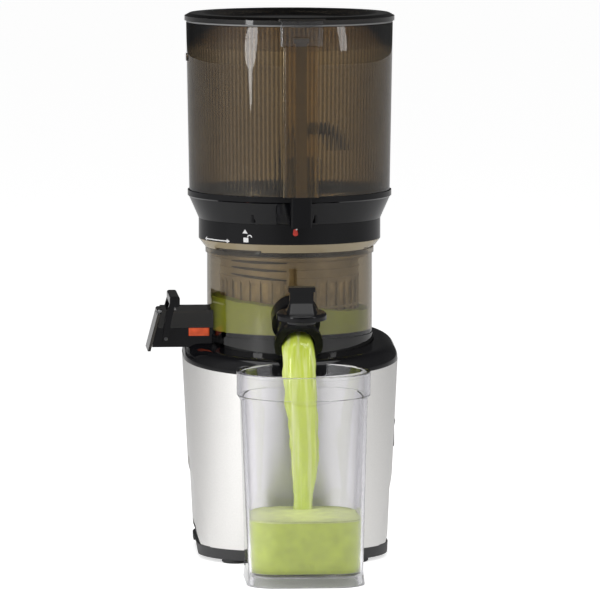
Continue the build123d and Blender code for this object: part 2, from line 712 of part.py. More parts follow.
def big_gear(low, width, centre_angle):
    tip = GEAR_PITCH_RADIUS + GEAR_STUB * GEAR_MODULE
    root = GEAR_PITCH_RADIUS - 1.2 * GEAR_MODULE
    outline = gear_outline(GEAR_TEETH, tip, root, 1, centre_angle)
    return extrude(Plane.XY.offset(low) * outline, width)


def pinion(low, width, centre_angle):
    pitch_radius = GEAR_MODULE * PINION_TEETH / 2
    root = pitch_radius - (GEAR_STUB + 0.25) * GEAR_MODULE
    outline = gear_outline(PINION_TEETH, pitch_radius + GEAR_MODULE, root, 3, centre_angle)
    return extrude(Plane.XY.offset(low) * outline, width)


def make_motor_pinion():
    return pinion(STAGE_ONE_Z - 1, STAGE_ONE_WIDTH + 2, TOWARDS_INTERMEDIATE)


def make_intermediate_gear():
    half_pitch = 180.0 / GEAR_TEETH
    wheel = big_gear(STAGE_ONE_Z, STAGE_ONE_WIDTH, TOWARDS_DRIVE + half_pitch)
    for side in (STAGE_ONE_Z - 0.1, STAGE_ONE_Z + STAGE_ONE_WIDTH - 2):
        wheel -= ring(GEAR_PITCH_RADIUS - 5, 11, side, side + 2.1)
    shoulder = disc(9, STAGE_ONE_Z + STAGE_ONE_WIDTH - 0.5, STAGE_TWO_Z - 1)
    small = pinion(STAGE_TWO_Z - 1.5, STAGE_TWO_WIDTH + 2, TOWARDS_DRIVE)
    both = wheel + shoulder + small - disc(PIN_RADIUS * 2 + RUNNING_GAP, 0, FAR)
    return Pos(0, GEAR_CENTRE, 0) * both


def make_output_gear():
    half_pitch = 180.0 / GEAR_TEETH
    wheel = big_gear(STAGE_TWO_Z, STAGE_TWO_WIDTH, TOWARDS_INTERMEDIATE + half_pitch)
    for side in (STAGE_TWO_Z - 0.1, STAGE_TWO_Z + STAGE_TWO_WIDTH - 3):
        wheel -= ring(GEAR_PITCH_RADIUS - 5, SHAFT_RADIUS + 6, side, side + 3.1)
    return wheel - disc(SHAFT_RADIUS, 0, FAR)


def make_drive_shaft():
    shaft = disc(SHAFT_RADIUS, STAGE_TWO_Z - 1.5, HEX_Z)
    head = Plane.XY.offset(HEX_Z - 0.5) * RegularPolygon(HEX_ACROSS / 2, 6, major_radius=False)
    shaft += chamfer(extrude(head, SHAFT_TOP_Z - HEX_Z + 0.5).faces().sort_by(Axis.Z)[-1].edges(), 0.8)
    return shaft


def gearbox_outline(inset):
    round_end = GEARBOX_ROUND - inset
    return Pos(0, GEAR_CENTRE / 2) * SlotCenterToCenter(GEAR_CENTRE, 2 * round_end, rotation=90)


def make_gearbox_housing():
    low = GEARBOX_Z
    body = extrude(Plane.XY.offset(low) * gearbox_outline(0), GEARBOX_TOP_Z - low)
    body -= extrude(Plane.XY.offset(low + GEARBOX_WALL) * gearbox_outline(GEARBOX_WALL), FAR)
    body -= disc(MOTOR_SHAFT_RADIUS + 4, 0, FAR)
    for x, y in gearbox_screw_places():
        body += disc(4, low, GEARBOX_TOP_Z, x, y)
        body -= disc(1.4, GEARBOX_TOP_Z - 14, FAR, x, y)
    return body


def gearbox_screw_places():
    reach = GEARBOX_ROUND + 2.4
    ends = [(reach * cos(radians(a)), reach * sin(radians(a))) for a in (200, 340)]
    far_ends = [(x, GEAR_CENTRE - y) for x, y in ends]
    return ends + far_ends


def make_gearbox_cover():
    cover = extrude(Plane.XY.offset(GEARBOX_TOP_Z) * gearbox_outline(0), GEARBOX_WALL)
    cover += disc(OUTPUT_BEARING_RADIUS + 3, GEARBOX_TOP_Z, GEARBOX_TOP_Z + OUTPUT_BEARING_WIDTH)
    cover -= disc(OUTPUT_BEARING_RADIUS, GEARBOX_TOP_Z - 1, GEARBOX_TOP_Z + OUTPUT_BEARING_WIDTH - 1)
    cover -= disc(SHAFT_RADIUS + 1.5, 0, FAR)
    for x, y in gearbox_screw_places():
        cover += disc(4, GEARBOX_TOP_Z, GEARBOX_TOP_Z + GEARBOX_WALL, x, y)
        cover -= disc(1.7, 0, FAR, x, y)
    cover -= disc(PIN_RADIUS * 2, 0, GEARBOX_TOP_Z + 1.5, 0, GEAR_CENTRE)
    return cover


def make_output_bearing():
    low = GEARBOX_TOP_Z
    return bearing(SHAFT_RADIUS + RUNNING_GAP, OUTPUT_BEARING_RADIUS, low, low + OUTPUT_BEARING_WIDTH - 1)


def make_gear_pin():
    return disc(PIN_RADIUS * 2, GEARBOX_Z + GEARBOX_WALL, GEARBOX_TOP_Z + 1.5, 0, GEAR_CENTRE)


def make_gearbox_screws():
    top = GEARBOX_TOP_Z + GEARBOX_WALL
    screws = []
    for x, y in gearbox_screw_places():
        screws.append(disc(1.35, GEARBOX_TOP_Z - 12, top, x, y) + disc(2.9, top, top + 2, x, y))
    return group(screws)


# ---------------------------------------------------------------- drum
def spout_plane():
    """The mouth's plane: Z points out of the mouth, Y points up its face."""
    fall = radians(SPOUT_FALL)
    return Plane((0, MOUTH_Y, MOUTH_Z), x_dir=(1, 0, 0), z_dir=(0, -cos(fall), -sin(fall)))


def spout_rod(radius, front, back):
    """A cylinder on the spout's axis, from front to back measured out of the mouth."""
    return extrude(spout_plane().offset(back) * Circle(radius), front - back)


def make_drum():
    """The smoky bowl: wall, floor and hub, a flange under the lock ring and three bayonet lugs."""
    flange = DRUM_RADIUS + FLANGE_WIDTH
    flange_low, flange_top = RING_FOOT_Z - 4.5, RING_FOOT_Z - 2 * RING_GAP
    bowl = turned([
        (0, DRUM_UNDERSIDE_Z), (DRUM_RADIUS, DRUM_UNDERSIDE_Z), (DRUM_RADIUS, flange_low),
        (flange, flange_low),
        (flange, flange_top), (DRUM_RADIUS, flange_top), (DRUM_RADIUS, DRUM_TOP_Z), (DRUM_BORE, DRUM_TOP_Z),
        (DRUM_BORE, DRUM_FLOOR_Z), (HUB_RADIUS, DRUM_FLOOR_Z), (HUB_RADIUS, HUB_TOP_Z), (0, HUB_TOP_Z),
    ])
    for i in range(LUG_COUNT):
        start = 360 * i / LUG_COUNT + 10
        keep = sector(LUG_RADIUS + 9, start, LUG_SWEEP, LUG_Z, LUG_Z + LUG_HEIGHT)
        bowl += ring(LUG_RADIUS, DRUM_BORE, LUG_Z, LUG_Z + LUG_HEIGHT) & keep
    bowl -= disc(SHAFT_RADIUS + 3, 0, FAR)
    bowl -= spout_rod(SPOUT_BORE, 0, -SPOUT_LENGTH)
    bowl -= block(
        -DRUM_RADIUS - 5, -STRAINER_RADIUS - 2,
        -CHUTE_HALF_WIDTH + 6, CHUTE_HALF_WIDTH - 6,
        DRUM_FLOOR_Z + 2, CHUTE_TOP_Z - 3,
    )
    return bowl


def make_drum_base():
    """The dark foot of the drum, with ribs under the floor and a skirt that drops in the seat."""
    skirt = ring(DRUM_RADIUS + DRUM_SKIRT_PROUD, DRUM_RADIUS - 3.5, DRUM_SEAT_Z, DRUM_UNDERSIDE_Z)
    web = ring(DRUM_RADIUS - 3, HUB_RADIUS, DRUM_UNDERSIDE_Z - 3, DRUM_UNDERSIDE_Z)
    boss = ring(HUB_RADIUS + 6, HUB_RADIUS + 3.4, DRUM_SEAT_Z, DRUM_UNDERSIDE_Z)
    part = skirt + web + boss
    rib = block(HUB_RADIUS + 5, DRUM_RADIUS - 3, -1, 1, DRUM_UNDERSIDE_Z - 9, DRUM_UNDERSIDE_Z)
    for i in range(8):
        part += Rot(0, 0, 45 * i + 22.5) * rib
    return part


def make_drum_seal():
    seal = ring(SHAFT_RADIUS + 3, SHAFT_RADIUS + FIT_GAP, HUB_TOP_Z - 9, HUB_TOP_Z)
    return seal - ring(SHAFT_RADIUS + 2, SHAFT_RADIUS + 1.1, HUB_TOP_Z - 3, HUB_TOP_Z + 1)


def make_drum_gasket():
    return ring(DRUM_RADIUS - 0.3, DRUM_BORE, DRUM_TOP_Z, DRUM_TOP_Z + GASKET_HEIGHT)


def make_spout():
    pipe = spout_rod(SPOUT_RADIUS, -MOUTH_RING + 1, -SPOUT_LENGTH)
    pipe += spout_rod(MOUTH_RADIUS, 0, -MOUTH_RING)
    pipe += spout_rod(MOUTH_RADIUS, -34, -48)
    hinge = cap_hinge()
    width = 3.2
    for side in (-1, 1):
        x = side * (CAP_KNUCKLE + 0.4 + width / 2)
        pipe += along_x(HINGE_ROUND, x - width / 2, x + width / 2, hinge.Y, hinge.Z)
        foot = Box(width, CAP_HINGE_ABOVE + 6, MOUTH_RING - 0.6)
        pipe += spout_plane() * Pos(x, MOUTH_RADIUS - 2.5 + CAP_HINGE_ABOVE / 2, -MOUTH_RING / 2 - 0.3) * foot
    pipe -= spout_rod(SPOUT_BORE, 1, -SPOUT_LENGTH - 5)
    pipe -= disc(DRUM_RADIUS + HAIR, 0, FAR)
    pipe -= disc(DRUM_RADIUS + DRUM_SKIRT_PROUD + HAIR, 0, DRUM_UNDERSIDE_Z)
    return pipe - along_x(PIN_RADIUS, -FAR / 2, FAR / 2, hinge.Y, hinge.Z)


def cap_hinge():
    return spout_plane().from_local_coords(Vector(0, CAP_HINGE_UP, -CAP_HINGE_BACK))


def to_cap_rest(shape):
    """Swings a shape from the cap's closed place to its open rest place."""
    hinge = cap_hinge()
    return Pos(0, hinge.Y, hinge.Z) * Rot(-CAP_OPEN, 0, 0) * Pos(0, -hinge.Y, -hinge.Z) * shape


def cap_tab(low):
    """The cap's grip: a flat tab with a lip along its top, on a flared foot."""
    neck, lip, foot = 9.7, 10.9, 13.0
    back = 1.5
    top = low + CAP_TAB_HEIGHT
    half = CAP_TAB_THICK / 2
    tab = Pos(0, back, 0) * block(-neck, neck, -half, half, low, top)
    tab += Pos(0, back, 0) * block(-lip, lip, -half - 0.6, half, top - 4, top)
    flare = loft([
        Pos(0, -1, low - 0.5) * RectangleRounded(2 * foot, 16, 5),
        Pos(0, back, low + 7) * RectangleRounded(2 * neck, CAP_TAB_THICK, 1.5),
    ])
    return tab + flare


def make_spout_cap():
    high = CAP_LIFT + CAP_THICK
    dish = Pos(0, 0, CAP_LIFT + CAP_THICK / 2) * Cylinder(CAP_RADIUS, CAP_THICK)
    dish = fillet(dish.edges().sort_by(Axis.Z)[-1], 2.4)
    half = CAP_KNUCKLE - 1
    arm = Box(2 * half, CAP_HINGE_ABOVE + 4, 1.8)
    arm = Pos(0, MOUTH_RADIUS + CAP_HINGE_ABOVE / 2 - 2, CAP_LIFT + 0.9) * arm
    hook = Pos(0, CAP_HINGE_UP - 0.5, -CAP_LIFT / 2) * Box(2 * half, 2.6, 3.6)
    knuckle = Rot(0, 90, 0) * Cylinder(2 * PIN_RADIUS, 2 * CAP_KNUCKLE)
    knuckle = Pos(0, CAP_HINGE_UP, -CAP_HINGE_BACK) * knuckle
    cap = spout_plane() * (dish + cap_tab(high) + arm + hook + knuckle)
    hinge = cap_hinge()
    cap -= along_x(PIN_RADIUS + RUNNING_GAP, -FAR / 2, FAR / 2, hinge.Y, hinge.Z)
    return to_cap_rest(cap)


def make_cap_plug():
    wide = SPOUT_BORE - FIT_GAP
    plug = turned([(0, -3), (wide - 1.4, -3), (wide, CAP_LIFT), (0, CAP_LIFT)])
    return to_cap_rest(spout_plane() * plug)


def make_cap_pin():
    hinge = cap_hinge()
    reach = CAP_KNUCKLE + 0.4 + 3.2
    return along_x(PIN_RADIUS, -reach, reach, hinge.Y, hinge.Z)


# ---------------------------------------------------------------- pulp outlet
def chute_end(offset):
    """Everything left of the slanted end of the chute, moved out by an offset."""
    extra = 20.0
    lean = extra * CHUTE_SLOPE / CHUTE_HEIGHT
    low, high = CHUTE_FLOOR_Z - extra, CHUTE_TOP_Z + extra
    outline = Polyline(
        (CHUTE_END_X - CHUTE_SLOPE - offset - lean, low),
        (CHUTE_END_X - offset + lean, high),
        (-FAR, high),
        (-FAR, low),
        close=True,
    )
    return extrude(Plane.XZ * make_face(outline), FAR / 2, both=True)


def chute_body(inset, low, high):
    """The chute's outer or inner box, from inside the drum to past its end."""
    half = CHUTE_HALF_WIDTH - inset
    return block(-FAR / 2, -DRUM_RADIUS + 6, -half, half, low, high)


def pivot_pads():
    """Low pads on both sides of the chute that take the lever's pins."""
    outer = CHUTE_HALF_WIDTH + FLAP_GAP
    low, high = LEVER_PIVOT_Z - 5, LEVER_PIVOT_Z + 5
    pad = block(LEVER_PIVOT_X - 4, LEVER_PIVOT_X + 5.5, outer - 2.8, outer, low, high)
    return pad + mirror(pad, Plane.XZ)


def make_pulp_chute():
    chute = chute_body(0, CHUTE_FLOOR_Z, CHUTE_SPLIT_Z)
    chute -= chute_body(CHUTE_WALL, CHUTE_FLOOR_Z + CHUTE_WALL, CHUTE_SPLIT_Z + 1)
    chute += pivot_pads()
    chute -= chute_end(0)
    chute -= disc(DRUM_RADIUS + DRUM_SKIRT_PROUD + HAIR, 0, DRUM_UNDERSIDE_Z)
    chute -= disc(DRUM_RADIUS + HAIR, 0, FAR)
    chute -= pulp_seal_block()
    return chute - along_y(PIN_RADIUS, -FAR / 2, FAR / 2, LEVER_PIVOT_X, LEVER_PIVOT_Z)


def pulp_seal_block():
    right = -DRUM_RADIUS + 0.5
    front = -CHUTE_HALF_WIDTH - SEAL_PROUD
    top = CHUTE_SPLIT_Z
    return block(right - SEAL_LENGTH, right, front, front + SEAL_DEPTH, top - SEAL_HEIGHT, top)


def make_pulp_seal():
    seal = fillet(pulp_seal_block().edges().filter_by(Axis.Z), 1.0)
    seal -= disc(DRUM_RADIUS + DRUM_SKIRT_PROUD + HAIR, 0, DRUM_UNDERSIDE_Z)
    return seal - disc(DRUM_RADIUS + HAIR, 0, FAR)


def make_chute_cover():
    cover = chute_body(0, CHUTE_SPLIT_Z, CHUTE_TOP_Z)
    cover -= chute_body(CHUTE_WALL, CHUTE_SPLIT_Z - 1, CHUTE_TOP_Z - CHUTE_WALL)
    cover -= chute_end(0)
    inner = FLAP_KNUCKLE_HALF + FLAP_GAP
    outer = inner + FLAP_LUG_WIDTH
    cover -= along_y(FLAP_KNUCKLE_RADIUS + FLAP_GAP, -inner, inner, FLAP_HINGE_X, FLAP_HINGE_Z)
    lug = along_y(FLAP_KNUCKLE_RADIUS, inner, outer, FLAP_HINGE_X, FLAP_HINGE_Z)
    lug += block(FLAP_HINGE_X, CHUTE_END_X + 4.5, inner, outer, FLAP_HINGE_Z - FLAP_KNUCKLE_RADIUS, CHUTE_TOP_Z)
    cover += lug + mirror(lug, Plane.XZ)
    cover -= along_y(PIN_RADIUS, -FAR / 2, FAR / 2, FLAP_HINGE_X, FLAP_HINGE_Z)
    return cover - disc(DRUM_RADIUS + HAIR, 0, FAR)


def make_pulp_flap():
    band = chute_end(FLAP_GAP) - chute_end(FLAP_GAP + FLAP_THICK)
    half = CHUTE_HALF_WIDTH
    flap = band & block(-FAR / 2, 0, -half, half, CHUTE_FLOOR_Z - FLAP_OVERHANG, FLAP_HINGE_Z)
    recess = FLAP_KNUCKLE_RADIUS + FLAP_GAP
    outer = FLAP_KNUCKLE_HALF + FLAP_LUG_WIDTH + 2 * FLAP_GAP
    notch = block(-FAR / 2, 0, FLAP_KNUCKLE_HALF, outer, FLAP_HINGE_Z - recess, FAR)
    flap -= notch + mirror(notch, Plane.XZ)
    flap += along_y(FLAP_KNUCKLE_RADIUS, -FLAP_KNUCKLE_HALF, FLAP_KNUCKLE_HALF, FLAP_HINGE_X, FLAP_HINGE_Z)
    return flap - along_y(PIN_RADIUS + RUNNING_GAP, -FAR / 2, FAR / 2, FLAP_HINGE_X, FLAP_HINGE_Z)


def make_flap_pin():
    reach = FLAP_KNUCKLE_HALF + FLAP_GAP + FLAP_LUG_WIDTH
    return along_y(PIN_RADIUS, -reach, reach, FLAP_HINGE_X, FLAP_HINGE_Z)


def lever_edge(offset):
    """One long edge of the lever's arm, bowed a little towards the drum, from foot to top."""
    low, high = LEVER_PIVOT_Z - 3, LEVER_TOP_Z - 1
    foot_x = LEVER_PIVOT_X + offset
    bow = 1.6
    return ThreePointArc(
        (foot_x, low), (foot_x + LEVER_LEAN / 2 - bow, (low + high) / 2), (foot_x + LEVER_LEAN, high),
    )


def make_pulp_lever():
    """A hoop over the chute: two bowed arms and a thicker bar across the top."""
    inner_y = CHUTE_HALF_WIDTH + LEVER_GAP
    outer_y = inner_y + LEVER_BAR
    left, right = lever_edge(-LEVER_BAR / 2), lever_edge(LEVER_BAR / 2)
    outline = make_face([left, Line(left @ 1, right @ 1), right, Line(left @ 0, right @ 0)])
    hoop = extrude(Plane.XZ * outline, outer_y, both=True)
    hoop -= block(-FAR, 0, -inner_y, inner_y, 0, FAR)
    middle = LEVER_PIVOT_X + LEVER_LEAN
    half = LEVER_CAP / 2
    bar = block(middle - half, middle + half, -outer_y, outer_y, LEVER_TOP_Z - LEVER_CAP_HEIGHT, LEVER_TOP_Z)
    hoop += fillet(bar.edges().filter_by(Axis.Y), 2.0)
    return hoop - along_y(PIN_RADIUS + RUNNING_GAP, -FAR / 2, FAR / 2, LEVER_PIVOT_X, LEVER_PIVOT_Z)


def make_lever_pins():
    reach = CHUTE_HALF_WIDTH + LEVER_GAP + LEVER_BAR
    pin = along_y(PIN_RADIUS, CHUTE_HALF_WIDTH - CHUTE_WALL, reach, LEVER_PIVOT_X, LEVER_PIVOT_Z)
    return group([pin, mirror(pin, Plane.XZ)])


# ---------------------------------------------------------------- strainer and auger
def make_strainer():
    """The strainer's cage: ribs below, a plain band with three rings above and one rail at the front."""
    low = DRUM_FLOOR_Z
    band_z = STRAINER_TOP_Z - 20
    outer = STRAINER_RADIUS
    cage = ring(outer, STRAINER_BORE, low, low + 5) + ring(outer - 0.6, STRAINER_BORE, band_z, STRAINER_TOP_Z)
    for level in (band_z + 3, band_z + 10, band_z + 16.6):
        cage += ring(outer + 0.4, STRAINER_BORE, level, level + 1.6)
    cage += ring(outer, STRAINER_BORE + SCREEN_WALL, (low + band_z) / 2, (low + band_z) / 2 + 2)
    rib = block(STRAINER_BORE + SCREEN_WALL, outer, -1.6, 1.6, low + 2, band_z + 2)
    for i in range(STRAINER_RIBS):
        cage += Rot(0, 0, 360 * i / STRAINER_RIBS) * rib
    half = STRAINER_RAIL / 2
    rail = block(outer - 1, outer + 2, -half, half, band_z - 6, STRAINER_TOP_Z - 3)
    cage += Rot(0, 0, RAIL_ANGLE) * rail
    return cage + ring(DRUM_BORE - FIT_GAP, STRAINER_BORE, STRAINER_TOP_Z, STRAINER_TOP_Z + 2.4)


def make_strainer_screen():
    """The fine screen behind the ribs."""
    low, high = DRUM_FLOOR_Z + 5 + HAIR, STRAINER_TOP_Z - 20 - HAIR
    return ring(STRAINER_BORE + SCREEN_WALL - HAIR, STRAINER_BORE, low, high)


def make_auger():
    low = DRUM_FLOOR_Z + 1.5
    shoulder = STRAINER_TOP_Z + 6
    core = turned([
        (0, low), (AUGER_CORE_FOOT + 12, low), (AUGER_CORE_FOOT + 12, low + 3), (AUGER_CORE_FOOT, low + 7),
        (AUGER_CORE_TOP, shoulder), (AUGER_CORE_TOP - 2, shoulder + 6), (NECK_RADIUS, shoulder + 14),
        (NECK_RADIUS, shoulder + 18), (0, shoulder + 18),
    ])
    path = Helix(AUGER_PITCH, FLIGHT_HEIGHT, AUGER_CORE_TOP, center=(0, 0, low + 6))
    width = AUGER_RADIUS - AUGER_CORE_TOP + 2
    section = Pos(width / 2 - 2, 0) * Rectangle(width, FLIGHT_THICK)
    blade = Plane(path @ 0, x_dir=(1, 0, 0), z_dir=path % 0) * section
    flight = sweep(blade, path=path, is_frenet=True)
    neck = disc(NECK_RADIUS, shoulder + 6, NECK_TOP_Z, NECK_OFFSET, 0)
    neck = fillet(neck.edges().sort_by(Axis.Z)[-1], 6.0)
    auger = core + flight + neck + make_wing()
    auger -= disc(HUB_RADIUS + 1, 0, HUB_TOP_Z + 2)
    return auger - disc(SOCKET_RADIUS, 0, SOCKET_TOP_Z)


def make_wing():
    """The hooked wing that pulls food down: an arch from the neck out to its tip."""
    start = (NECK_OFFSET + 4, 0, NECK_TOP_Z - 14)
    top = (NECK_OFFSET + 21, 0, WING_TOP_Z - 5)
    tip = (WING_REACH - 3, 0, NECK_TOP_Z + 5)
    path = ThreePointArc(start, top, tip)
    section = Plane(path @ 0, x_dir=(0, 1, 0), z_dir=path % 0) * Ellipse(3.4, 5.0)
    return sweep(section, path=path)


def make_auger_socket():
    low = HUB_TOP_Z + 2
    socket = Plane.XY.offset(low - 1) * RegularPolygon(HEX_ACROSS / 2 + HEX_GAP, 6, major_radius=False)
    return disc(SOCKET_RADIUS, low, SOCKET_TOP_Z) - extrude(socket, SHAFT_TOP_Z + 2 - low)


# ---------------------------------------------------------------- lock ring, hopper and lid
def make_lock_ring():
    """The twist ring: a lip under the drum's lugs, with three gaps that let them in."""
    bore = DRUM_RADIUS + 0.6
    wide = LUG_RADIUS + 0.5
    lip_top = LUG_Z - 0.6
    lug_top = LUG_Z + LUG_HEIGHT
    part = turned([
        (bore, RING_FOOT_Z), (bore + RING_LIP, RING_FOOT_Z), (RING_RADIUS, RING_FOOT_Z + RING_CONE),
        (RING_RADIUS, RING_TOP_Z), (SPIGOT_RADIUS + 0.5, RING_TOP_Z), (SPIGOT_RADIUS + 0.5, lug_top + 2),
        (wide, lug_top + 1.2), (wide, lip_top), (bore, lip_top),
    ])
    for i in range(LUG_COUNT):
        start = 360 * i / LUG_COUNT + 10 - LUG_SWEEP - 6
        gap = sector(wide + 9, start, LUG_SWEEP + 3, RING_FOOT_Z - 1, LUG_Z)
        part -= ring(wide, bore - 2, RING_FOOT_Z - 1, LUG_Z) & gap
    return part


def funnel_skin(proud):
    """The collar's flared outside, grown by an amount."""
    foot, top = RING_RADIUS + proud, FLANGE_RADIUS - 1.2 + proud
    low, high = FUNNEL_FOOT_Z + proud, FLANGE_Z - 1
    return turned([(0, low), (foot, low), (top, high), (0, high)])


def collar_panel():
    """The raised panel beside the interlock's foot, with a round catch at each lower corner."""
    middle = (FUNNEL_FOOT_Z + FLANGE_Z) / 2
    bore = disc(RING_RADIUS - 2, 0, FAR * 2)
    keep = sector(FLANGE_RADIUS + 9, PANEL_FROM, PANEL_SWEEP, FUNNEL_FOOT_Z + 1.2, FLANGE_Z - 1)
    panel = (funnel_skin(PANEL_PROUD) - bore) & keep
    for angle in (PANEL_FROM - 1, PANEL_FROM + PANEL_SWEEP + 1):
        reach = RING_RADIUS + PANEL_PROUD + 0.6
        x, y = reach * cos(radians(angle)), reach * sin(radians(angle))
        panel += disc(2.0, FUNNEL_FOOT_Z + 1.5, middle - 2, x, y)
    return panel


def make_hopper_collar():
    wall_in = HOPPER_FOOT_RADIUS - HOPPER_WALL
    low = DRUM_TOP_Z + GASKET_HEIGHT + 0.4
    part = turned([
        (FUNNEL_BORE, low), (SPIGOT_RADIUS, low), (SPIGOT_RADIUS, FUNNEL_FOOT_Z), (RING_RADIUS, FUNNEL_FOOT_Z),
        (FLANGE_RADIUS - 1.2, FLANGE_Z - 1), (FLANGE_RADIUS, FLANGE_Z), (FLANGE_RADIUS, FLANGE_TOP_Z),
        (HOPPER_FOOT_RADIUS + 0.2, FLANGE_TOP_Z), (HOPPER_FOOT_RADIUS + 0.2, FLANGE_Z + 1),
        (wall_in - 0.2, FLANGE_Z + 1), (wall_in - 0.2, FLANGE_TOP_Z), (wall_in - 1.8, FLANGE_TOP_Z - 1),
        (FUNNEL_BORE, FUNNEL_FOOT_Z + 4),
    ])
    part += collar_panel()
    face = block(-FACE_HALF, FACE_HALF, CHANNEL_FACE_Y, -FUNNEL_BORE - 16, FUNNEL_FOOT_Z - 1.5, FLANGE_TOP_Z)
    face -= disc(RING_RADIUS + 2 * FIT_GAP, FUNNEL_FOOT_Z - 5, FUNNEL_FOOT_Z)
    face = fillet(face.edges().filter_by(Axis.Z).sort_by(Axis.Y)[:2], 1.6)
    face -= disc(HOPPER_FOOT_RADIUS + 0.2, FLANGE_Z + 1, FAR * 2)
    return part + face - interlock_pocket()


def interlock_pocket():
    """The slot in the collar for the rod's spring."""
    half = ROD_WIDTH / 2 + 1.5
    return block(
        -half, half, CHANNEL_FACE_Y + CHANNEL_WALL, -HOPPER_FOOT_RADIUS - 2.0, POCKET_FLOOR_Z, FAR * 2,
    )


def hopper_wall(outer_gap):
    """The hopper's tapered outside as a solid, grown by a gap."""
    top = HOPPER_TOP_RADIUS + outer_gap
    foot = HOPPER_FOOT_RADIUS + outer_gap
    low = FLANGE_Z + 1.2
    return turned([(0, low), (foot, low), (foot, FLANGE_TOP_Z), (top, HOPPER_TOP_Z), (0, HOPPER_TOP_Z)])


def hinge_lug(side):
    """One of the two ears on the hopper's back rim that hold the lid's hinge pin."""
    x = side * (LID_KNUCKLE + 0.4 + HINGE_LUG / 2)
    low_x, high_x = x - HINGE_LUG / 2, x + HINGE_LUG / 2
    lug = along_x(HINGE_ROUND, low_x, high_x, LID_HINGE_Y, LID_HINGE_Z)
    lug += block(low_x, high_x, HOPPER_TOP_RADIUS - 1.6, LID_HINGE_Y, LID_HINGE_Z - 6, LID_HINGE_Z - 1)
    return lug + block(
        low_x, high_x, LID_HINGE_Y - 1, LID_HINGE_Y + HINGE_ROUND, LID_HINGE_Z - 4, LID_HINGE_Z,
    )


def make_hopper_tube():
    foot, top = HOPPER_FOOT_RADIUS - HOPPER_WALL, HOPPER_TOP_RADIUS - HOPPER_WALL
    tube = hopper_wall(0)
    tube -= turned([
        (0, FLANGE_Z), (foot, FLANGE_Z), (foot, FLANGE_TOP_Z), (top, HOPPER_TOP_Z),
        (top, FAR * 2), (0, FAR * 2),
    ])
    nub_z = HOPPER_TOP_Z - NUB_BELOW_TOP
    tube += block(-HOPPER_TOP_RADIUS - 0.4, -HOPPER_TOP_RADIUS + 2, -4, 4, nub_z - 3, nub_z + 3)
    tube += hinge_lug(-1) + hinge_lug(1)
    return tube - along_x(PIN_RADIUS, -FAR / 2, FAR / 2, LID_HINGE_Y, LID_HINGE_Z)


def make_interlock_channel():
    top = LATCH_FOOT_Z - 0.4
    low = FLANGE_TOP_Z + RUNNING_GAP
    body = block(-CHANNEL_HALF, CHANNEL_HALF, CHANNEL_FACE_Y, -HOPPER_FOOT_RADIUS + 6, low, top)
    body = fillet(body.edges().filter_by(Axis.Z).sort_by(Axis.Y)[:2], 2.0)
    half = CHANNEL_HALF - CHANNEL_WALL
    body -= block(-half, half, CHANNEL_FACE_Y + CHANNEL_WALL, 0, 0, FAR * 2)
    return body - hopper_wall(HAIR)


def make_interlock_rod():
    half = ROD_WIDTH / 2
    rod = block(-half, half, ROD_Y, ROD_Y + ROD_THICK, ROD_FOOT_Z, ROD_TOP_Z)
    return rod + block(-half - 2, half + 2, ROD_Y, ROD_Y + ROD_THICK, ROD_TOP_Z - 4, ROD_TOP_Z)


def make_rod_spring():
    half_wire = SPRING_WIRE / 2
    low = POCKET_FLOOR_Z + half_wire + 0.05
    high = ROD_FOOT_Z - half_wire - 0.05
    path = Helix(SPRING_PITCH, high - low, SPRING_RADIUS, center=(0, ROD_Y + ROD_THICK / 2, low))
    wire = Plane(path @ 0, z_dir=path % 0) * Rectangle(SPRING_WIRE, SPRING_WIRE)
    return sweep(wire, path=path, is_frenet=True)


def make_lid():
    """The lid: a shallow dish with a raised border, a skirt inside the hopper and a hinge knuckle."""
    top = LID_TOP_Z
    skirt_z = LID_Z - LID_SKIRT_DEPTH
    inner = LID_SKIRT_RADIUS - LID_WALL
    shell = turned([
        (0, top - 3.2), (LID_SKIRT_RADIUS - 14, top - 3.2), (LID_SKIRT_RADIUS - 8, top), (LID_RADIUS - 4, top),
        (LID_RADIUS, top - 2.2), (LID_RADIUS, LID_Z), (LID_SKIRT_RADIUS, LID_Z), (LID_SKIRT_RADIUS, skirt_z),
        (inner, skirt_z), (inner, LID_Z), (LID_SKIRT_RADIUS - 12, top - 5.4), (0, top - 5.4),
    ])
    lip = block(
        -LATCH_HALF - 2.4, LATCH_HALF + 2.4, CHANNEL_FACE_Y - 3.4, -LID_RADIUS + 8, LATCH_TOP_Z, top - 0.6,
    )
    shell += fillet(lip.edges().filter_by(Axis.Z).sort_by(Axis.Y)[:2], 2.6)
    back = LID_HINGE_Y + HINGE_ROUND
    shell += along_x(HINGE_ROUND, -LID_KNUCKLE, LID_KNUCKLE, LID_HINGE_Y, LID_HINGE_Z)
    shell += block(-LID_KNUCKLE, LID_KNUCKLE, LID_RADIUS - 4, back, LID_Z, LID_Z + 3)
    shell += block(-LID_KNUCKLE, LID_KNUCKLE, LID_HINGE_Y - 0.5, back, LID_HINGE_Z, LID_Z + 3)
    return shell - along_x(PIN_RADIUS + RUNNING_GAP, -FAR / 2, FAR / 2, LID_HINGE_Y, LID_HINGE_Z)


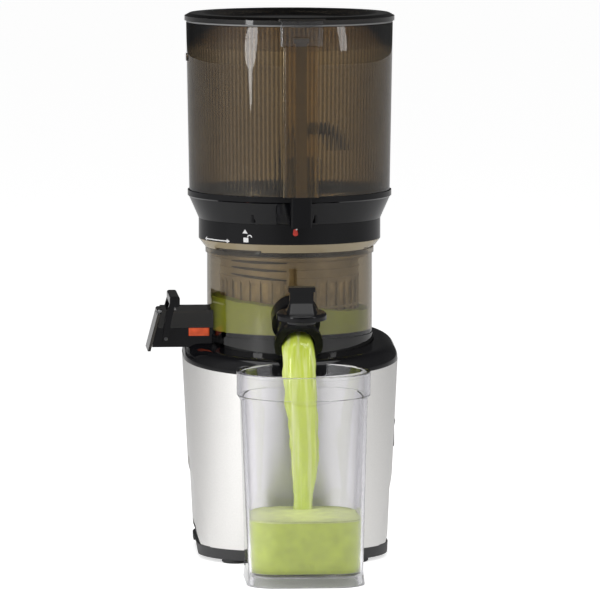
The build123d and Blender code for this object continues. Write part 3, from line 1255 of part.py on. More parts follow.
def make_lid_latch():
    """The clear latch: a hollow plate with a rimmed finger pocket."""
    face = CHANNEL_FACE_Y - 3.0
    back = CHANNEL_FACE_Y - 0.4
    low, high = LATCH_FOOT_Z, LATCH_TOP_Z
    pocket = 9.5
    latch = block(-LATCH_HALF, LATCH_HALF, face, -LID_RADIUS - 0.6, low, high)
    latch = fillet(latch.edges().filter_by(Axis.Z).sort_by(Axis.Y)[:2], 1.8)
    latch -= block(-LATCH_HALF + 2.4, LATCH_HALF - 2.4, face + 2.2, 0, low - 1, high - 3)
    latch -= block(-pocket, pocket, face - 1, back, low + 7, high - 5)
    rim = block(-pocket, pocket, face, back + 1.6, low + 6, high - 4)
    rim -= block(-pocket + 1.5, pocket - 1.5, face - 1, back + 0.4, low + 7.5, high - 4)
    return latch + rim


def make_lid_gasket():
    return ring(HOPPER_TOP_RADIUS - 0.2, LID_SKIRT_RADIUS + 0.4, HOPPER_TOP_Z + 0.2, LID_Z)


def make_lid_pin():
    reach = LID_KNUCKLE + 0.4 + HINGE_LUG
    return along_x(PIN_RADIUS, -reach, reach, LID_HINGE_Y, LID_HINGE_Z)


# ---------------------------------------------------------------- cup
def cup_outline(height, width, corner, inset):
    plane = Plane.XY.offset(height)
    return plane * RectangleRounded(width - 2 * inset, width - 2 * inset, corner - inset)


def cup_body(inset):
    """The cup as a solid: a squarish body that rounds out into a sloped shoulder and a round neck."""
    body = loft(
        [
            cup_outline(CUP_FLOOR_Z, CUP_FOOT_WIDTH, CUP_FOOT_CORNER, inset),
            cup_outline(CUP_NECK_Z, CUP_BODY_WIDTH, CUP_BODY_CORNER, inset),
        ],
        ruled=True,
    )
    rim = CUP_RIM_RADIUS - inset
    waist = rim - CUP_NARROWER - 0.2
    body += turned([
        (0, CUP_STEP_Z), (waist, CUP_STEP_Z), (rim, CUP_NECK_Z), (rim, CUP_HEIGHT), (0, CUP_HEIGHT),
    ])
    return body


def cup_scoop():
    """The bite out of the back rim, which lets the spout's cap swing past."""
    across = CAP_HINGE_UP + CAP_RADIUS
    swing = (across ** 2 + (CAP_HINGE_BACK + CAP_LIFT + CAP_THICK) ** 2) ** 0.5
    low = cap_hinge().Z - swing - SCOOP_GAP
    half = CAP_RADIUS + SCOOP_GAP / 2
    bite = block(-half, half, CUP_RIM_RADIUS / 2, CUP_RIM_RADIUS + 5, low, CUP_HEIGHT + 20)
    return fillet(bite.edges().filter_by(Axis.Y).group_by(Axis.Z)[0], SCOOP_CORNER)


def make_cup():
    foot = loft(
        [
            cup_outline(0, CUP_FOOT_WIDTH + 2 * CUP_FLARE, CUP_FOOT_CORNER + CUP_FLARE, 0),
            cup_outline(CUP_FLOOR_Z, CUP_FOOT_WIDTH, CUP_FOOT_CORNER, 0),
        ],
        ruled=True,
    )
    mouth = CUP_RIM_RADIUS - CUP_BEAD
    cup = cup_body(0) + foot - cup_body(CUP_WALL)
    bead = ring(CUP_RIM_RADIUS, mouth, CUP_HEIGHT - CUP_BEAD, CUP_HEIGHT)
    cup += fillet(bead.edges().group_by(Axis.Z)[-1], 1.4)
    cup -= extrude(cup_outline(-1, CUP_FOOT_WIDTH, CUP_FOOT_CORNER, 3.0), CUP_FLOOR_Z - CUP_FLOOR + 1)
    return Pos(0, CUP_Y, 0) * (cup - cup_scoop())


# ---------------------------------------------------------------- output
def on_hopper(shape):
    """Hopper pieces sit turned a little about the drum's axis."""
    return Rot(0, 0, HOPPER_TURN) * shape


NODES = {
    "base_shell": make_base_shell,
    "top_cover": make_top_cover,
    "shaft_seal": make_shaft_seal,
    "bottom_tray": make_bottom_tray,
    "rubber_feet": make_feet,
    "base_screws": make_base_screws,
    "cord_inlet": make_cord_inlet,
    "control_board": make_control_board,
    "switch_frame": make_switch_frame,
    "rocker_switch": make_rocker,
    "motor_stator": make_stator,
    "motor_coils": make_coils,
    "motor_lower_bracket": make_lower_bracket,
    "motor_upper_bracket": make_upper_bracket,
    "motor_bearings": make_motor_bearings,
    "motor_bolts": make_motor_bolts,
    "motor_rotor": make_rotor,
    "cooling_fan": make_fan,
    "motor_pinion": make_motor_pinion,
    "intermediate_gear": make_intermediate_gear,
    "output_gear": make_output_gear,
    "drive_shaft": make_drive_shaft,
    "gearbox_housing": make_gearbox_housing,
    "gearbox_cover": make_gearbox_cover,
    "output_bearing": make_output_bearing,
    "gear_pin": make_gear_pin,
    "gearbox_screws": make_gearbox_screws,
    "drum_bowl": make_drum,
    "drum_base_ring": make_drum_base,
    "drum_seal": make_drum_seal,
    "drum_gasket": make_drum_gasket,
    "juice_spout": make_spout,
    "spout_cap": make_spout_cap,
    "cap_plug": make_cap_plug,
    "cap_pin": make_cap_pin,
    "pulp_chute": make_pulp_chute,
    "pulp_seal": make_pulp_seal,
    "chute_cover": make_chute_cover,
    "pulp_flap": make_pulp_flap,
    "flap_pin": make_flap_pin,
    "pulp_lever": make_pulp_lever,
    "lever_pins": make_lever_pins,
    "strainer": make_strainer,
    "strainer_screen": make_strainer_screen,
    "auger": make_auger,
    "auger_socket": make_auger_socket,
    "lock_ring": make_lock_ring,
    "juice_cup": make_cup,
}

HOPPER_NODES = {
    "hopper_collar": make_hopper_collar,
    "hopper_tube": make_hopper_tube,
    "interlock_channel": make_interlock_channel,
    "interlock_rod": make_interlock_rod,
    "rod_spring": make_rod_spring,
    "hopper_lid": make_lid,
    "lid_latch": make_lid_latch,
    "lid_gasket": make_lid_gasket,
    "lid_pin": make_lid_pin,
}


def main():
    os.makedirs("parts", exist_ok=True)
    for name, make in NODES.items():
        export_step(make(), f"parts/{name}.step")
    for name, make in HOPPER_NODES.items():
        export_step(on_hopper(make()), f"parts/{name}.step")


main()
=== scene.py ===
import json
import math
import random

import bmesh
import bpy
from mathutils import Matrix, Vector, noise


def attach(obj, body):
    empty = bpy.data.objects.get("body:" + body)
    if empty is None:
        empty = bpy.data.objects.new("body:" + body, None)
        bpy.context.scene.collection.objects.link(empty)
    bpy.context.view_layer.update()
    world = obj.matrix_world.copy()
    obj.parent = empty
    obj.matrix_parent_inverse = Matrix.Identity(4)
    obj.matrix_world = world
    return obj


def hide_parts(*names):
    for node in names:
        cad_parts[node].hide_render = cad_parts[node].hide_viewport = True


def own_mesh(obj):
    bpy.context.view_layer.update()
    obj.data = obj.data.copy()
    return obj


# Looks for the cold press juicer.  Metres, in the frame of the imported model:
# +Z up, -Y the spout side, -X the pulp side, origin on the table under the drive axis.
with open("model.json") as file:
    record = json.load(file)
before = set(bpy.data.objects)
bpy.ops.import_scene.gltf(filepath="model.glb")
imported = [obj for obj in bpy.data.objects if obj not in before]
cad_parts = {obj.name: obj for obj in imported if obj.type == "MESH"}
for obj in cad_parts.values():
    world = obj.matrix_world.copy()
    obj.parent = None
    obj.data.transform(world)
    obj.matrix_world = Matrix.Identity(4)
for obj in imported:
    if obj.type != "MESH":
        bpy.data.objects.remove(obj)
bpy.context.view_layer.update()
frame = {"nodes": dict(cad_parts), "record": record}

MM = 0.001

# ---- Camera: a long lens a little to the left of the front and above the middle ----
CAMERA_AZIMUTH = -4.0
CAMERA_ELEVATION = 5.9
CAMERA_DISTANCE = 4.7
CAMERA_LENS = 336.5
CAMERA_TARGET_Z = 0.211
CAMERA_TARGET_RIGHT = 0.0088

# ---- Colours, linear ----
SILVER = (0.69, 0.68, 0.665)
BLACK = (0.004, 0.004, 0.005)
CHARCOAL = (0.035, 0.035, 0.037)
STEEL = (0.56, 0.57, 0.58)
SMOKE = (0.74, 0.60, 0.38)
SMOKE_DARK = (0.05, 0.043, 0.033)
SMOKE_LID = (0.02, 0.017, 0.013)
SMOKE_SKIRT = (0.55, 0.48, 0.36)
SMOKE_DRUM = (0.76, 0.68, 0.54)
TAN = (0.42, 0.35, 0.23)
CLEAR = (0.975, 0.975, 0.985)
LIME = (0.72, 0.86, 0.10)
FROTH = (0.82, 0.90, 0.34)
JUICE = (0.50, 0.66, 0.09)
RED = (0.55, 0.035, 0.02)
WHITE = (0.85, 0.85, 0.85)
COPPER = (0.58, 0.24, 0.09)
ALLOY = (0.45, 0.46, 0.47)
BOARD = (0.02, 0.12, 0.05)
NYLON = (0.72, 0.70, 0.62)
FROSTED = (0.75, 0.75, 0.76)
GREY = (0.30, 0.30, 0.30)
SCREEN = (0.46, 0.38, 0.24)
AUGER = (0.05, 0.045, 0.04)
BRONZE = (0.105, 0.085, 0.062)
SEAL_ORANGE = (0.9, 0.10, 0.02)
# colour of the painted shade on part of the strainer's rings
RING_SHADOW = (0.02, 0.016, 0.012)
# what the plain colour is multiplied by: painted shade in the hopper's rib grooves, and at edges that
# turn away
# painted shade for the grooves between the hopper's ribs
GROOVE_PAINTED_SHADE = (0.34, 0.31, 0.26)
HOPPER_EDGE = (0.20, 0.17, 0.12)
DRUM_EDGE = (0.20, 0.17, 0.13)
CUP_EDGE = (0.42, 0.39, 0.52)


# ---------------------------------------------------------------- materials
PLASTIC_INDEX = 1.49
CUP_INDEX = 1.47
LID_SKIRT_SHARE = 0.74
# share of the lock ring's height painted tan: a painted reflection of the tan drum under its
# downward-facing cone
RING_REFLECTION_SHARE = 0.3


def node(tree, kind, **values):
    """A new shader node with its own settings."""
    made = tree.nodes.new(kind)
    for key, value in values.items():
        setattr(made, key, value)
    return made


def shade(colour, factor):
    """The colour made lighter or darker, with full alpha."""
    return tuple(min(1.0, c * factor) for c in colour) + (1.0,)


def surface(name, colour, roughness, spread=0.06, grain=60.0, bump=0.0, bump_grain=900.0, **sockets):
    """A material whose colour and roughness wander a little, with an optional fine bump.

    spread is how far the colour wanders, grain and bump_grain are how fine the clouds and the bump are,
    and the rest are sockets of the shader, with an underscore for each space.
    """
    material = bpy.data.materials.new(name)
    material.use_nodes = True
    tree = material.node_tree
    shader = tree.nodes["Principled BSDF"]
    place = node(tree, "ShaderNodeTexCoord")
    cloud = node(tree, "ShaderNodeTexNoise")
    cloud.inputs["Scale"].default_value = grain
    cloud.inputs["Detail"].default_value = 4.0
    tree.links.new(place.outputs["Object"], cloud.inputs["Vector"])
    ramp = node(tree, "ShaderNodeValToRGB")
    ramp.color_ramp.elements[0].position = 0.3
    ramp.color_ramp.elements[1].position = 0.7
    ramp.color_ramp.elements[0].color = shade(colour, 1 - spread)
    ramp.color_ramp.elements[1].color = shade(colour, 1 + spread)
    tree.links.new(cloud.outputs["Fac"], ramp.inputs["Fac"])
    tree.links.new(ramp.outputs["Color"], shader.inputs["Base Color"])
    rough = node(tree, "ShaderNodeMapRange")
    rough.inputs["To Min"].default_value = roughness * 0.85
    rough.inputs["To Max"].default_value = roughness * 1.15
    tree.links.new(cloud.outputs["Fac"], rough.inputs["Value"])
    tree.links.new(rough.outputs["Result"], shader.inputs["Roughness"])
    if bump:
        fine = node(tree, "ShaderNodeTexNoise")
        fine.inputs["Scale"].default_value = bump_grain
        fine.inputs["Detail"].default_value = 2.0
        tree.links.new(place.outputs["Object"], fine.inputs["Vector"])
        relief = node(tree, "ShaderNodeBump")
        relief.inputs["Strength"].default_value = bump
        relief.inputs["Distance"].default_value = 0.0004
        tree.links.new(fine.outputs["Fac"], relief.inputs["Height"])
        tree.links.new(relief.outputs["Normal"], shader.inputs["Normal"])
    for key, value in sockets.items():
        shader.inputs[key.replace("_", " ")].default_value = value
    return material


def before_base(material, blend, colour):
    """Puts a mix in front of the base colour, and returns it: the old colour is its first."""
    tree = material.node_tree
    base = tree.nodes["Principled BSDF"].inputs["Base Color"]
    mix = node(tree, "ShaderNodeMixRGB", blend_type=blend)
    tree.links.new(base.links[0].from_socket, mix.inputs["Color1"])
    mix.inputs["Color2"].default_value = shade(colour, 1.0)
    tree.links.new(mix.outputs["Color"], base)
    return tree, mix


def darker_edges(material, colour, blend=0.35):
    """Smoky plastic is seen through more of itself where it turns away."""
    tree, mix = before_base(material, "MULTIPLY", colour)
    facing = node(tree, "ShaderNodeLayerWeight")
    facing.inputs["Blend"].default_value = blend
    tree.links.new(facing.outputs["Facing"], mix.inputs["Fac"])
    return material


def below(material, share, colour, soft=0.01):
    """Another colour under a share of the piece's height."""
    tree, mix = before_base(material, "MIX", colour)
    place = node(tree, "ShaderNodeTexCoord")
    parts = node(tree, "ShaderNodeSeparateXYZ")
    step = node(tree, "ShaderNodeMapRange")
    step.inputs["From Min"].default_value = share + soft
    step.inputs["From Max"].default_value = share - soft
    tree.links.new(place.outputs["Generated"], parts.inputs["Vector"])
    tree.links.new(parts.outputs["Z"], step.inputs["Value"])
    tree.links.new(step.outputs["Result"], mix.inputs["Fac"])
    return material


def painted_groove_shade(material, count, dark):
    """Fine upright ribs: painted shade makes the grooves between them darker."""
    tree, mix = before_base(material, "MULTIPLY", dark)
    place = node(tree, "ShaderNodeTexCoord")
    turn = node(tree, "ShaderNodeTexGradient", gradient_type="RADIAL")
    many = node(tree, "ShaderNodeMath", operation="MULTIPLY")
    many.inputs[1].default_value = count
    one = node(tree, "ShaderNodeMath", operation="FRACT")
    ramp = node(tree, "ShaderNodeValToRGB")
    ramp.color_ramp.elements[0].position = 0.12
    ramp.color_ramp.elements[0].color = (1, 1, 1, 1)
    ramp.color_ramp.elements[1].position = 0.88
    ramp.color_ramp.elements[1].color = (1, 1, 1, 1)
    middle = ramp.color_ramp.elements.new(0.5)
    middle.color = (0, 0, 0, 1)
    tree.links.new(place.outputs["Object"], turn.inputs["Vector"])
    tree.links.new(turn.outputs["Fac"], many.inputs[0])
    tree.links.new(many.outputs[0], one.inputs[0])
    tree.links.new(one.outputs[0], ramp.inputs["Fac"])
    tree.links.new(ramp.outputs["Color"], mix.inputs["Fac"])
    return material


def streaked(name, colour, bright):
    """Falling juice: bright threads that run down it."""
    material = surface(name, colour, 0.16, 0.08, 60.0, 0.0, 900.0, Specular_IOR_Level=0.8)
    tree = material.node_tree
    shader = tree.nodes["Principled BSDF"]
    place = node(tree, "ShaderNodeTexCoord")
    stretch = node(tree, "ShaderNodeMapping")
    stretch.inputs["Scale"].default_value = (260.0, 60.0, 9.0)
    threads = node(tree, "ShaderNodeTexNoise")
    threads.inputs["Scale"].default_value = 1.0
    threads.inputs["Detail"].default_value = 3.0
    ramp = node(tree, "ShaderNodeValToRGB")
    ramp.color_ramp.elements[0].position = 0.46
    ramp.color_ramp.elements[1].position = 0.66
    ramp.color_ramp.elements[0].color = shade(colour, 1.0)
    ramp.color_ramp.elements[1].color = shade(bright, 1.1)
    tree.links.new(place.outputs["Object"], stretch.inputs["Vector"])
    tree.links.new(stretch.outputs["Vector"], threads.inputs["Vector"])
    tree.links.new(threads.outputs["Fac"], ramp.inputs["Fac"])
    tree.links.new(ramp.outputs["Color"], shader.inputs["Base Color"])
    relief = node(tree, "ShaderNodeBump")
    relief.inputs["Strength"].default_value = 0.5
    relief.inputs["Distance"].default_value = 0.0012
    tree.links.new(threads.outputs["Fac"], relief.inputs["Height"])
    tree.links.new(relief.outputs["Normal"], shader.inputs["Normal"])
    return material


def see_through(name, colour, roughness, spread, grain=18.0, index=PLASTIC_INDEX):
    """Clear or smoky plastic."""
    return surface(name, colour, roughness, spread, grain, Transmission_Weight=1.0, IOR=index)


def glossy_black(name):
    return surface(name, BLACK, 0.07, 0.2, 30.0, 0.02, 400.0, Specular_IOR_Level=0.2)


def slot_materials():
    """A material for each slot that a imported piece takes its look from."""
    return {
        "silver_shell": surface("silver_shell", SILVER, 0.34, 0.03, 900.0, 0.10, 3000.0, Metallic=0.9),
        "black_gloss": glossy_black("black_gloss"),
        "dark_plastic": surface("dark_plastic", CHARCOAL, 0.55, 0.1, 200.0, 0.25, 1500.0),
        "black_rubber": surface("black_rubber", CHARCOAL, 0.75, 0.15, 300.0, 0.3, 1200.0),
        "steel": surface("steel", STEEL, 0.28, 0.06, 250.0, 0.05, 2000.0, Metallic=1.0),
        "copper": surface("copper", COPPER, 0.35, 0.1, 400.0, 0.2, 2500.0, Metallic=1.0),
        "cast_alloy": surface("cast_alloy", ALLOY, 0.5, 0.08, 300.0, 0.3, 1600.0, Metallic=1.0),
        "board_green": surface("board_green", BOARD, 0.4, 0.1, 200.0, 0.05),
        "white_nylon": surface("white_nylon", NYLON, 0.5, 0.04, 120.0, 0.1),
        "smoky_clear": see_through("smoky_clear", SMOKE, 0.03, 0.05),
        "smoky_dark": see_through("smoky_dark", SMOKE_DARK, 0.04, 0.08),
        "clear_latch": see_through("clear_latch", FROSTED, 0.05, 0.03),
        "clear_cup": see_through("clear_cup", CLEAR, 0.02, 0.01, 12.0, CUP_INDEX),
        "grey_silicone": surface("grey_silicone", GREY, 0.5, 0.05, 90.0, 0.1),
        "strainer_plastic": surface("strainer_plastic", TAN, 0.35, 0.25, 45.0, 0.1),
        "screen_mesh": surface("screen_mesh", SCREEN, 0.45, 0.4, 70.0, 0.3, 2600.0, Metallic=0.3),
        "auger_plastic": surface("auger_plastic", AUGER, 0.32, 0.1, 60.0, 0.1),
    }


def own_materials():
    """Materials of single pieces, which differ by height or are a little unlike their slot's."""
    return {
        "drum": see_through("smoky_drum", SMOKE_DRUM, 0.03, 0.05),
        "lid": below(see_through("lid", SMOKE_LID, 0.05, 0.08), LID_SKIRT_SHARE, SMOKE_SKIRT),
        # the lock ring's lower share is tan: a painted reflection of the drum below it
        "ring": below(glossy_black("ring"), RING_REFLECTION_SHARE, TAN),
        "rod": surface("rod", BRONZE, 0.35, 0.1, 60.0),
        "hopper": see_through("hopper", SMOKE, 0.03, 0.05),
        "seal_glow": surface("seal_glow", SEAL_ORANGE, 0.25, 0.35, 90.0),
    }


def content_materials():
    """Juice, prints and the painted shade on the rings of the strainer's band."""
    return {
        "juice": surface("juice", JUICE, 0.35, 0.08, 60.0, 0.1),
        "foam": surface("foam", LIME, 0.3, 0.10, 90.0, 0.1, Specular_IOR_Level=0.6),
        "froth": surface("froth", FROTH, 0.4, 0.10, 140.0, 0.2),
        "stream": streaked("stream", LIME, FROTH),
        # painted shade for part of the strainer's rings
        "painted_ring_shade": surface("painted_ring_shade", RING_SHADOW, 0.4, 0.1, 90.0),
        "print_white": surface("print_white", WHITE, 0.5, 0.04, 500.0),
        "print_red": surface("print_red", RED, 0.4, 0.06, 500.0),
    }


def make_materials():
    materials = {**slot_materials(), **own_materials(), **content_materials()}
    # painted shade in the grooves between the hopper's ribs
    painted_groove_shade(materials["hopper"], HOPPER_RIBS, GROOVE_PAINTED_SHADE)
    darker_edges(materials["hopper"], HOPPER_EDGE)
    darker_edges(materials["drum"], DRUM_EDGE)
    darker_edges(materials["clear_cup"], CUP_EDGE, 0.2)
    return materials


# pieces with a material of their own instead of their slot's
OWN_MATERIAL = {
    "drum_bowl": "drum",
    "hopper_lid": "lid",
    "lock_ring": "ring",
    "interlock_rod": "rod",
    "pulp_seal": "seal_glow",
}
# pieces whose edges are rounded in the render
ROUNDED = ("spout_cap", "pulp_lever", "lid_latch", "chute_cover")
EDGE_WIDTH = 0.35 * MM
EDGE_SEGMENTS = 2
EDGE_ANGLE = math.radians(40)


def dress_nodes(materials):
    """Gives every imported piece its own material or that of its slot, and rounds some edges."""
    for entry in frame["record"]["subparts"]:
        name = entry["node"]
        piece = frame["nodes"][name]
        material = materials[OWN_MATERIAL.get(name) or entry["material_slot"]]
        piece.data.materials.clear()
        piece.data.materials.append(material)
        if name in ROUNDED:
            bevel = piece.modifiers.new("soft_edges", "BEVEL")
            bevel.width = EDGE_WIDTH
            bevel.segments = EDGE_SEGMENTS
            bevel.limit_method = "ANGLE"
            bevel.angle_limit = EDGE_ANGLE
            bevel.harden_normals = False


# ---------------------------------------------------------------- mesh kit
def object_from(name, vertices, faces, material, body=None, smooth=True):
    """A mesh in the scene with its normals outwards, which rides on a body and fills a slot."""
    mesh = bpy.data.meshes.new(name)
    mesh.from_pydata(vertices, [], faces)
    mesh.update()
    made = bpy.data.objects.new(name, mesh)
    bpy.context.scene.collection.objects.link(made)
    mesh.materials.append(material)
    work = bmesh.new()
    work.from_mesh(mesh)
    bmesh.ops.recalc_face_normals(work, faces=work.faces)
    work.to_mesh(mesh)
    work.free()
    for polygon in mesh.polygons:
        polygon.use_smooth = smooth
    if body:
        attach(made, body)
    return made


def loft_rings(rings, closed=False):
    """Vertices and faces of a skin over rings of equal point count: capped, or closed to a loop."""
    count = len(rings[0])
    vertices = [tuple(p) for r in rings for p in r]
    faces = []
    last = len(rings) if closed else len(rings) - 1
    for i in range(last):
        a, b = i * count, ((i + 1) % len(rings)) * count
        for j in range(count):
            k = (j + 1) % count
            faces.append((a + j, a + k, b + k, b + j))
    if not closed:
        faces.append(tuple(range(count)))
        faces.append(tuple(range((len(rings) - 1) * count, len(rings) * count)))
    return vertices, faces


# ---------------------------------------------------------------- contents
# the drum's juice, in metres: its two walls, its foot and its level at the left and right
DRUM_JUICE_OUTER = 0.0661
DRUM_JUICE_INNER = 0.0583
DRUM_JUICE_FOOT = 0.1884
DRUM_JUICE_LEFT = 0.2165
DRUM_JUICE_RIGHT = 0.2050
DRUM_JUICE_WAVE = 0.0006
DRUM_JUICE_RISE = 0.0008
DRUM_JUICE_STEPS = 144


def make_drum_juice(material):
    """The juice between the strainer and the drum's wall, with a foamy, uneven top."""
    random.seed(7)
    phases = [random.uniform(0, 2 * math.pi) for _ in range(5)]
    rings = []
    for i in range(DRUM_JUICE_STEPS):
        angle = 2 * math.pi * i / DRUM_JUICE_STEPS
        level = (DRUM_JUICE_LEFT + DRUM_JUICE_RIGHT) / 2
        level -= (DRUM_JUICE_LEFT - DRUM_JUICE_RIGHT) / 2 * math.cos(angle)
        wobble = sum(math.sin((5 + 4 * n) * angle + p) / (n + 2) for n, p in enumerate(phases))
        level += DRUM_JUICE_WAVE * wobble
        c, s = math.cos(angle), math.sin(angle)
        rings.append([
            (DRUM_JUICE_INNER * c, DRUM_JUICE_INNER * s, DRUM_JUICE_FOOT),
            (DRUM_JUICE_OUTER * c, DRUM_JUICE_OUTER * s, DRUM_JUICE_FOOT),
            (DRUM_JUICE_OUTER * c, DRUM_JUICE_OUTER * s, level),
            (DRUM_JUICE_INNER * c, DRUM_JUICE_INNER * s, level + DRUM_JUICE_RISE),
        ])
    vertices, faces = loft_rings(rings, closed=True)
    return object_from("drum_juice", vertices, faces, material, "drum", smooth=False)


# the cup's inside and its juice, in mm
CUP_Y = -168.0
CUP_WALL = 2.4
CUP_FLOOR_Z = 11.0
CUP_NECK_Z = 152.0
CUP_FOOT_WIDTH = 93.0 - 2 * CUP_WALL
CUP_BODY_WIDTH = 103.0 - 2 * CUP_WALL
CUP_FOOT_CORNER = 22.0 - CUP_WALL
CUP_BODY_CORNER = 44.5 - CUP_WALL
CUP_JUICE_FOOT = 11.2
CUP_JUICE_TOP = 54.0
JUICE_GAP = 0.12
FROTH_SHRINKS = (0.97, 0.9, 0.8, 0.65, 0.5, 0.35, 0.2, 0.08)
FROTH_SINK = 0.8
FROTH_HEIGHT = 1.1
FROTH_WAVES = 0.09
FROTH_SEED = 3.1
FROTH_EDGE = 1.8


def rounded_square(width, corner, steps=9):
    """Points of a square with round corners."""
    half = width / 2 - corner
    points = []
    for cx, cy, start in ((1, -1, -90), (1, 1, 0), (-1, 1, 90), (-1, -1, 180)):
        for i in range(steps + 1):
            angle = math.radians(start + 90 * i / steps)
            points.append((cx * half + corner * math.cos(angle), cy * half + corner * math.sin(angle)))
    return points


def cup_section(height, gap):
    """The cup's inside at a height, shrunk by a gap."""
    share = (height - CUP_FLOOR_Z) / (CUP_NECK_Z - CUP_FLOOR_Z)
    width = CUP_FOOT_WIDTH + (CUP_BODY_WIDTH - CUP_FOOT_WIDTH) * share
    corner = CUP_FOOT_CORNER + (CUP_BODY_CORNER - CUP_FOOT_CORNER) * share
    return rounded_square(width - 2 * gap, corner - gap)


def make_cup_juice(material, foam):
    """The juice in the cup, with a slightly raised edge and a wavy, frothy top."""
    foot, top = CUP_JUICE_FOOT, CUP_JUICE_TOP
    rings = []
    for height in (foot, foot + 8, foot + 20, top - 1.5, top):
        rings.append([(x * MM, (CUP_Y + y) * MM, height * MM) for x, y in cup_section(height, JUICE_GAP)])
    for shrink in FROTH_SHRINKS:
        ring_points = []
        for x, y in cup_section(CUP_JUICE_TOP, JUICE_GAP):
            px, py = x * shrink, y * shrink
            wave = noise.noise(Vector((px * FROTH_WAVES, py * FROTH_WAVES, FROTH_SEED)))
            height = top - FROTH_SINK + FROTH_HEIGHT * wave
            ring_points.append((px * MM, (CUP_Y + py) * MM, height * MM))
        rings.append(ring_points)
    vertices, faces = loft_rings(rings)
    made = object_from("cup_juice", vertices, faces, material, "cup")
    made.data.materials.append(foam)
    for polygon in made.data.polygons:
        if polygon.center.z > (CUP_JUICE_TOP - FROTH_EDGE) * MM:
            polygon.material_index = 1
    return made


# stations of the falling juice, in mm: x, y, z, half width, half depth
STREAM = (
    (0.0, -92.0, 189.0, 12.0, 7.5),
    (0.0, -101.0, 186.5, 13.2, 9.0),
    (0.0, -110.0, 181.5, 13.6, 9.5),
    (-0.2, -118.5, 171.5, 13.4, 8.0),
    (0.0, -124.5, 157.0, 13.0, 7.0),
    (0.8, -128.5, 139.0, 12.5, 6.4),
    (2.0, -131.5, 118.0, 12.0, 6.0),
    (2.9, -133.0, 97.0, 11.4, 5.6),
    (2.8, -134.0, 80.0, 9.6, 5.2),
    (2.0, -134.6, 64.0, 7.4, 4.8),
    (1.6, -135.0, 52.0, 7.8, 5.4),
)
STREAM_STEPS = 9
STREAM_ROUND = 48
# how much strands and ripples swell it, and how little of that it has at the mouth
STRAND_SWELL = 0.16
RIPPLE_SWELL = 0.12
SWELL_AT_MOUTH = 0.25


def spline(stations, steps):
    """Catmull-Rom rows between stations of any number of values."""

    def between(p, q, r, w, t):
        square = (2 * p - 5 * q + 4 * r - w) * t * t
        return 0.5 * (2 * q + (r - p) * t + square + (3 * q - p - 3 * r + w) * t ** 3)

    rows = []
    last = len(stations) - 1
    for i in range(last):
        a, b = stations[max(i - 1, 0)], stations[i]
        c, d = stations[i + 1], stations[min(i + 2, last)]
        for k in range(steps):
            rows.append([between(*values, k / steps) for values in zip(a, b, c, d)])
    rows.append(list(stations[-1]))
    return rows


def make_stream(material):
    """The falling juice: a flat rope of liquid with strands that twist down it."""
    rows = spline(STREAM, STREAM_STEPS)
    rings = []
    for i, (x, y, z, half_width, half_depth) in enumerate(rows):
        ahead = rows[min(i + 1, len(rows) - 1)]
        behind = rows[max(i - 1, 0)]
        run = Vector((0, ahead[1] - behind[1], ahead[2] - behind[2])).normalized()
        out = Vector((0, -run.z, run.y))
        fall = i / (len(rows) - 1)
        ring_points = []
        for j in range(STREAM_ROUND):
            angle = 2 * math.pi * j / STREAM_ROUND
            strand = noise.noise(Vector((3.2 * math.cos(angle), 3.2 * math.sin(angle), z * 0.018)))
            ripple = noise.noise(Vector((2.0 * math.cos(angle), 2.0 * math.sin(angle), z * 0.09)))
            grown = min(1.0, SWELL_AT_MOUTH + 2.0 * fall)
            swell = 1 + (STRAND_SWELL * strand + RIPPLE_SWELL * ripple) * grown
            point = Vector((x, y, z)) + Vector((half_width * math.cos(angle) * swell, 0, 0))
            point += out * (half_depth * math.sin(angle) * swell)
            ring_points.append(tuple(point * MM))
        rings.append(ring_points)
    vertices, faces = loft_rings(rings)
    made = object_from("juice_stream", vertices, faces, material, "drum")
    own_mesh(made)
    return made


# painted shade on the rings of the strainer's band, in mm: the height where each dark arc starts and
# where it ends
RING_SHADE_HEIGHTS = ((237.0, 233.1), (242.8, 240.6), (247.9, 247.4))
DARK_RING_RADIUS = 58.6
DARK_RING_THICK = 0.3
DARK_RING_HALF = 1.1
DARK_RING_START = -58
DARK_RING_SWEEP = 52


def painted_ring_shade(name, first, last, material):
    """A thin dark band of painted shade round the axis, over part of a strainer ring, that climbs or
    sinks along its way and tapers at its ends.
    """
    steps = DARK_RING_SWEEP // 2
    low, high = DARK_RING_RADIUS, DARK_RING_RADIUS + DARK_RING_THICK
    rings = []
    for i in range(steps + 1):
        angle = math.radians(DARK_RING_START + DARK_RING_SWEEP * i / steps)
        c, d = math.sin(angle), -math.cos(angle)
        middle = first + (last - first) * i / steps
        half = DARK_RING_HALF * math.sin(math.pi * (0.12 + 0.76 * i / steps))
        corners = ((low, -half), (high, -half), (high, half), (low, half))
        rings.append([(r * c * MM, r * d * MM, (middle + z) * MM) for r, z in corners])
    vertices, faces = loft_rings(rings)
    return object_from(name, vertices, faces, material, "drum", smooth=False)


def make_painted_ring_shades(material):
    # painted shade: three dark arcs over part of the strainer's rings
    for i, (first, last) in enumerate(RING_SHADE_HEIGHTS):
        painted_ring_shade("strainer_ring_shade_%d" % i, first, last, material)


# ---------------------------------------------------------------- hopper
HOPPER_RIBS = 144
HOPPER_RIB_HEIGHT = 0.42
HOPPER_FOOT_Z = 301.2
HOPPER_BEND_Z = 304.5
HOPPER_TOP_Z = 444.5
HOPPER_FOOT_RADIUS = 83.8
HOPPER_TOP_RADIUS = 86.2
HOPPER_WALL = 2.6
HOPPER_TURN = 2.4
LID_HINGE_Y = 91.5
LID_HINGE_Z = 443.4
LUG_ROUND = 3.4
LUG_SIDES = ((-14, -8), (8, 14))
LUG_SINK = 0.3
NUB_SIDES = (-86.6, -85.2)
NUB_HALF = 4
NUB_LOW, NUB_HIGH = 412.5, 418.5
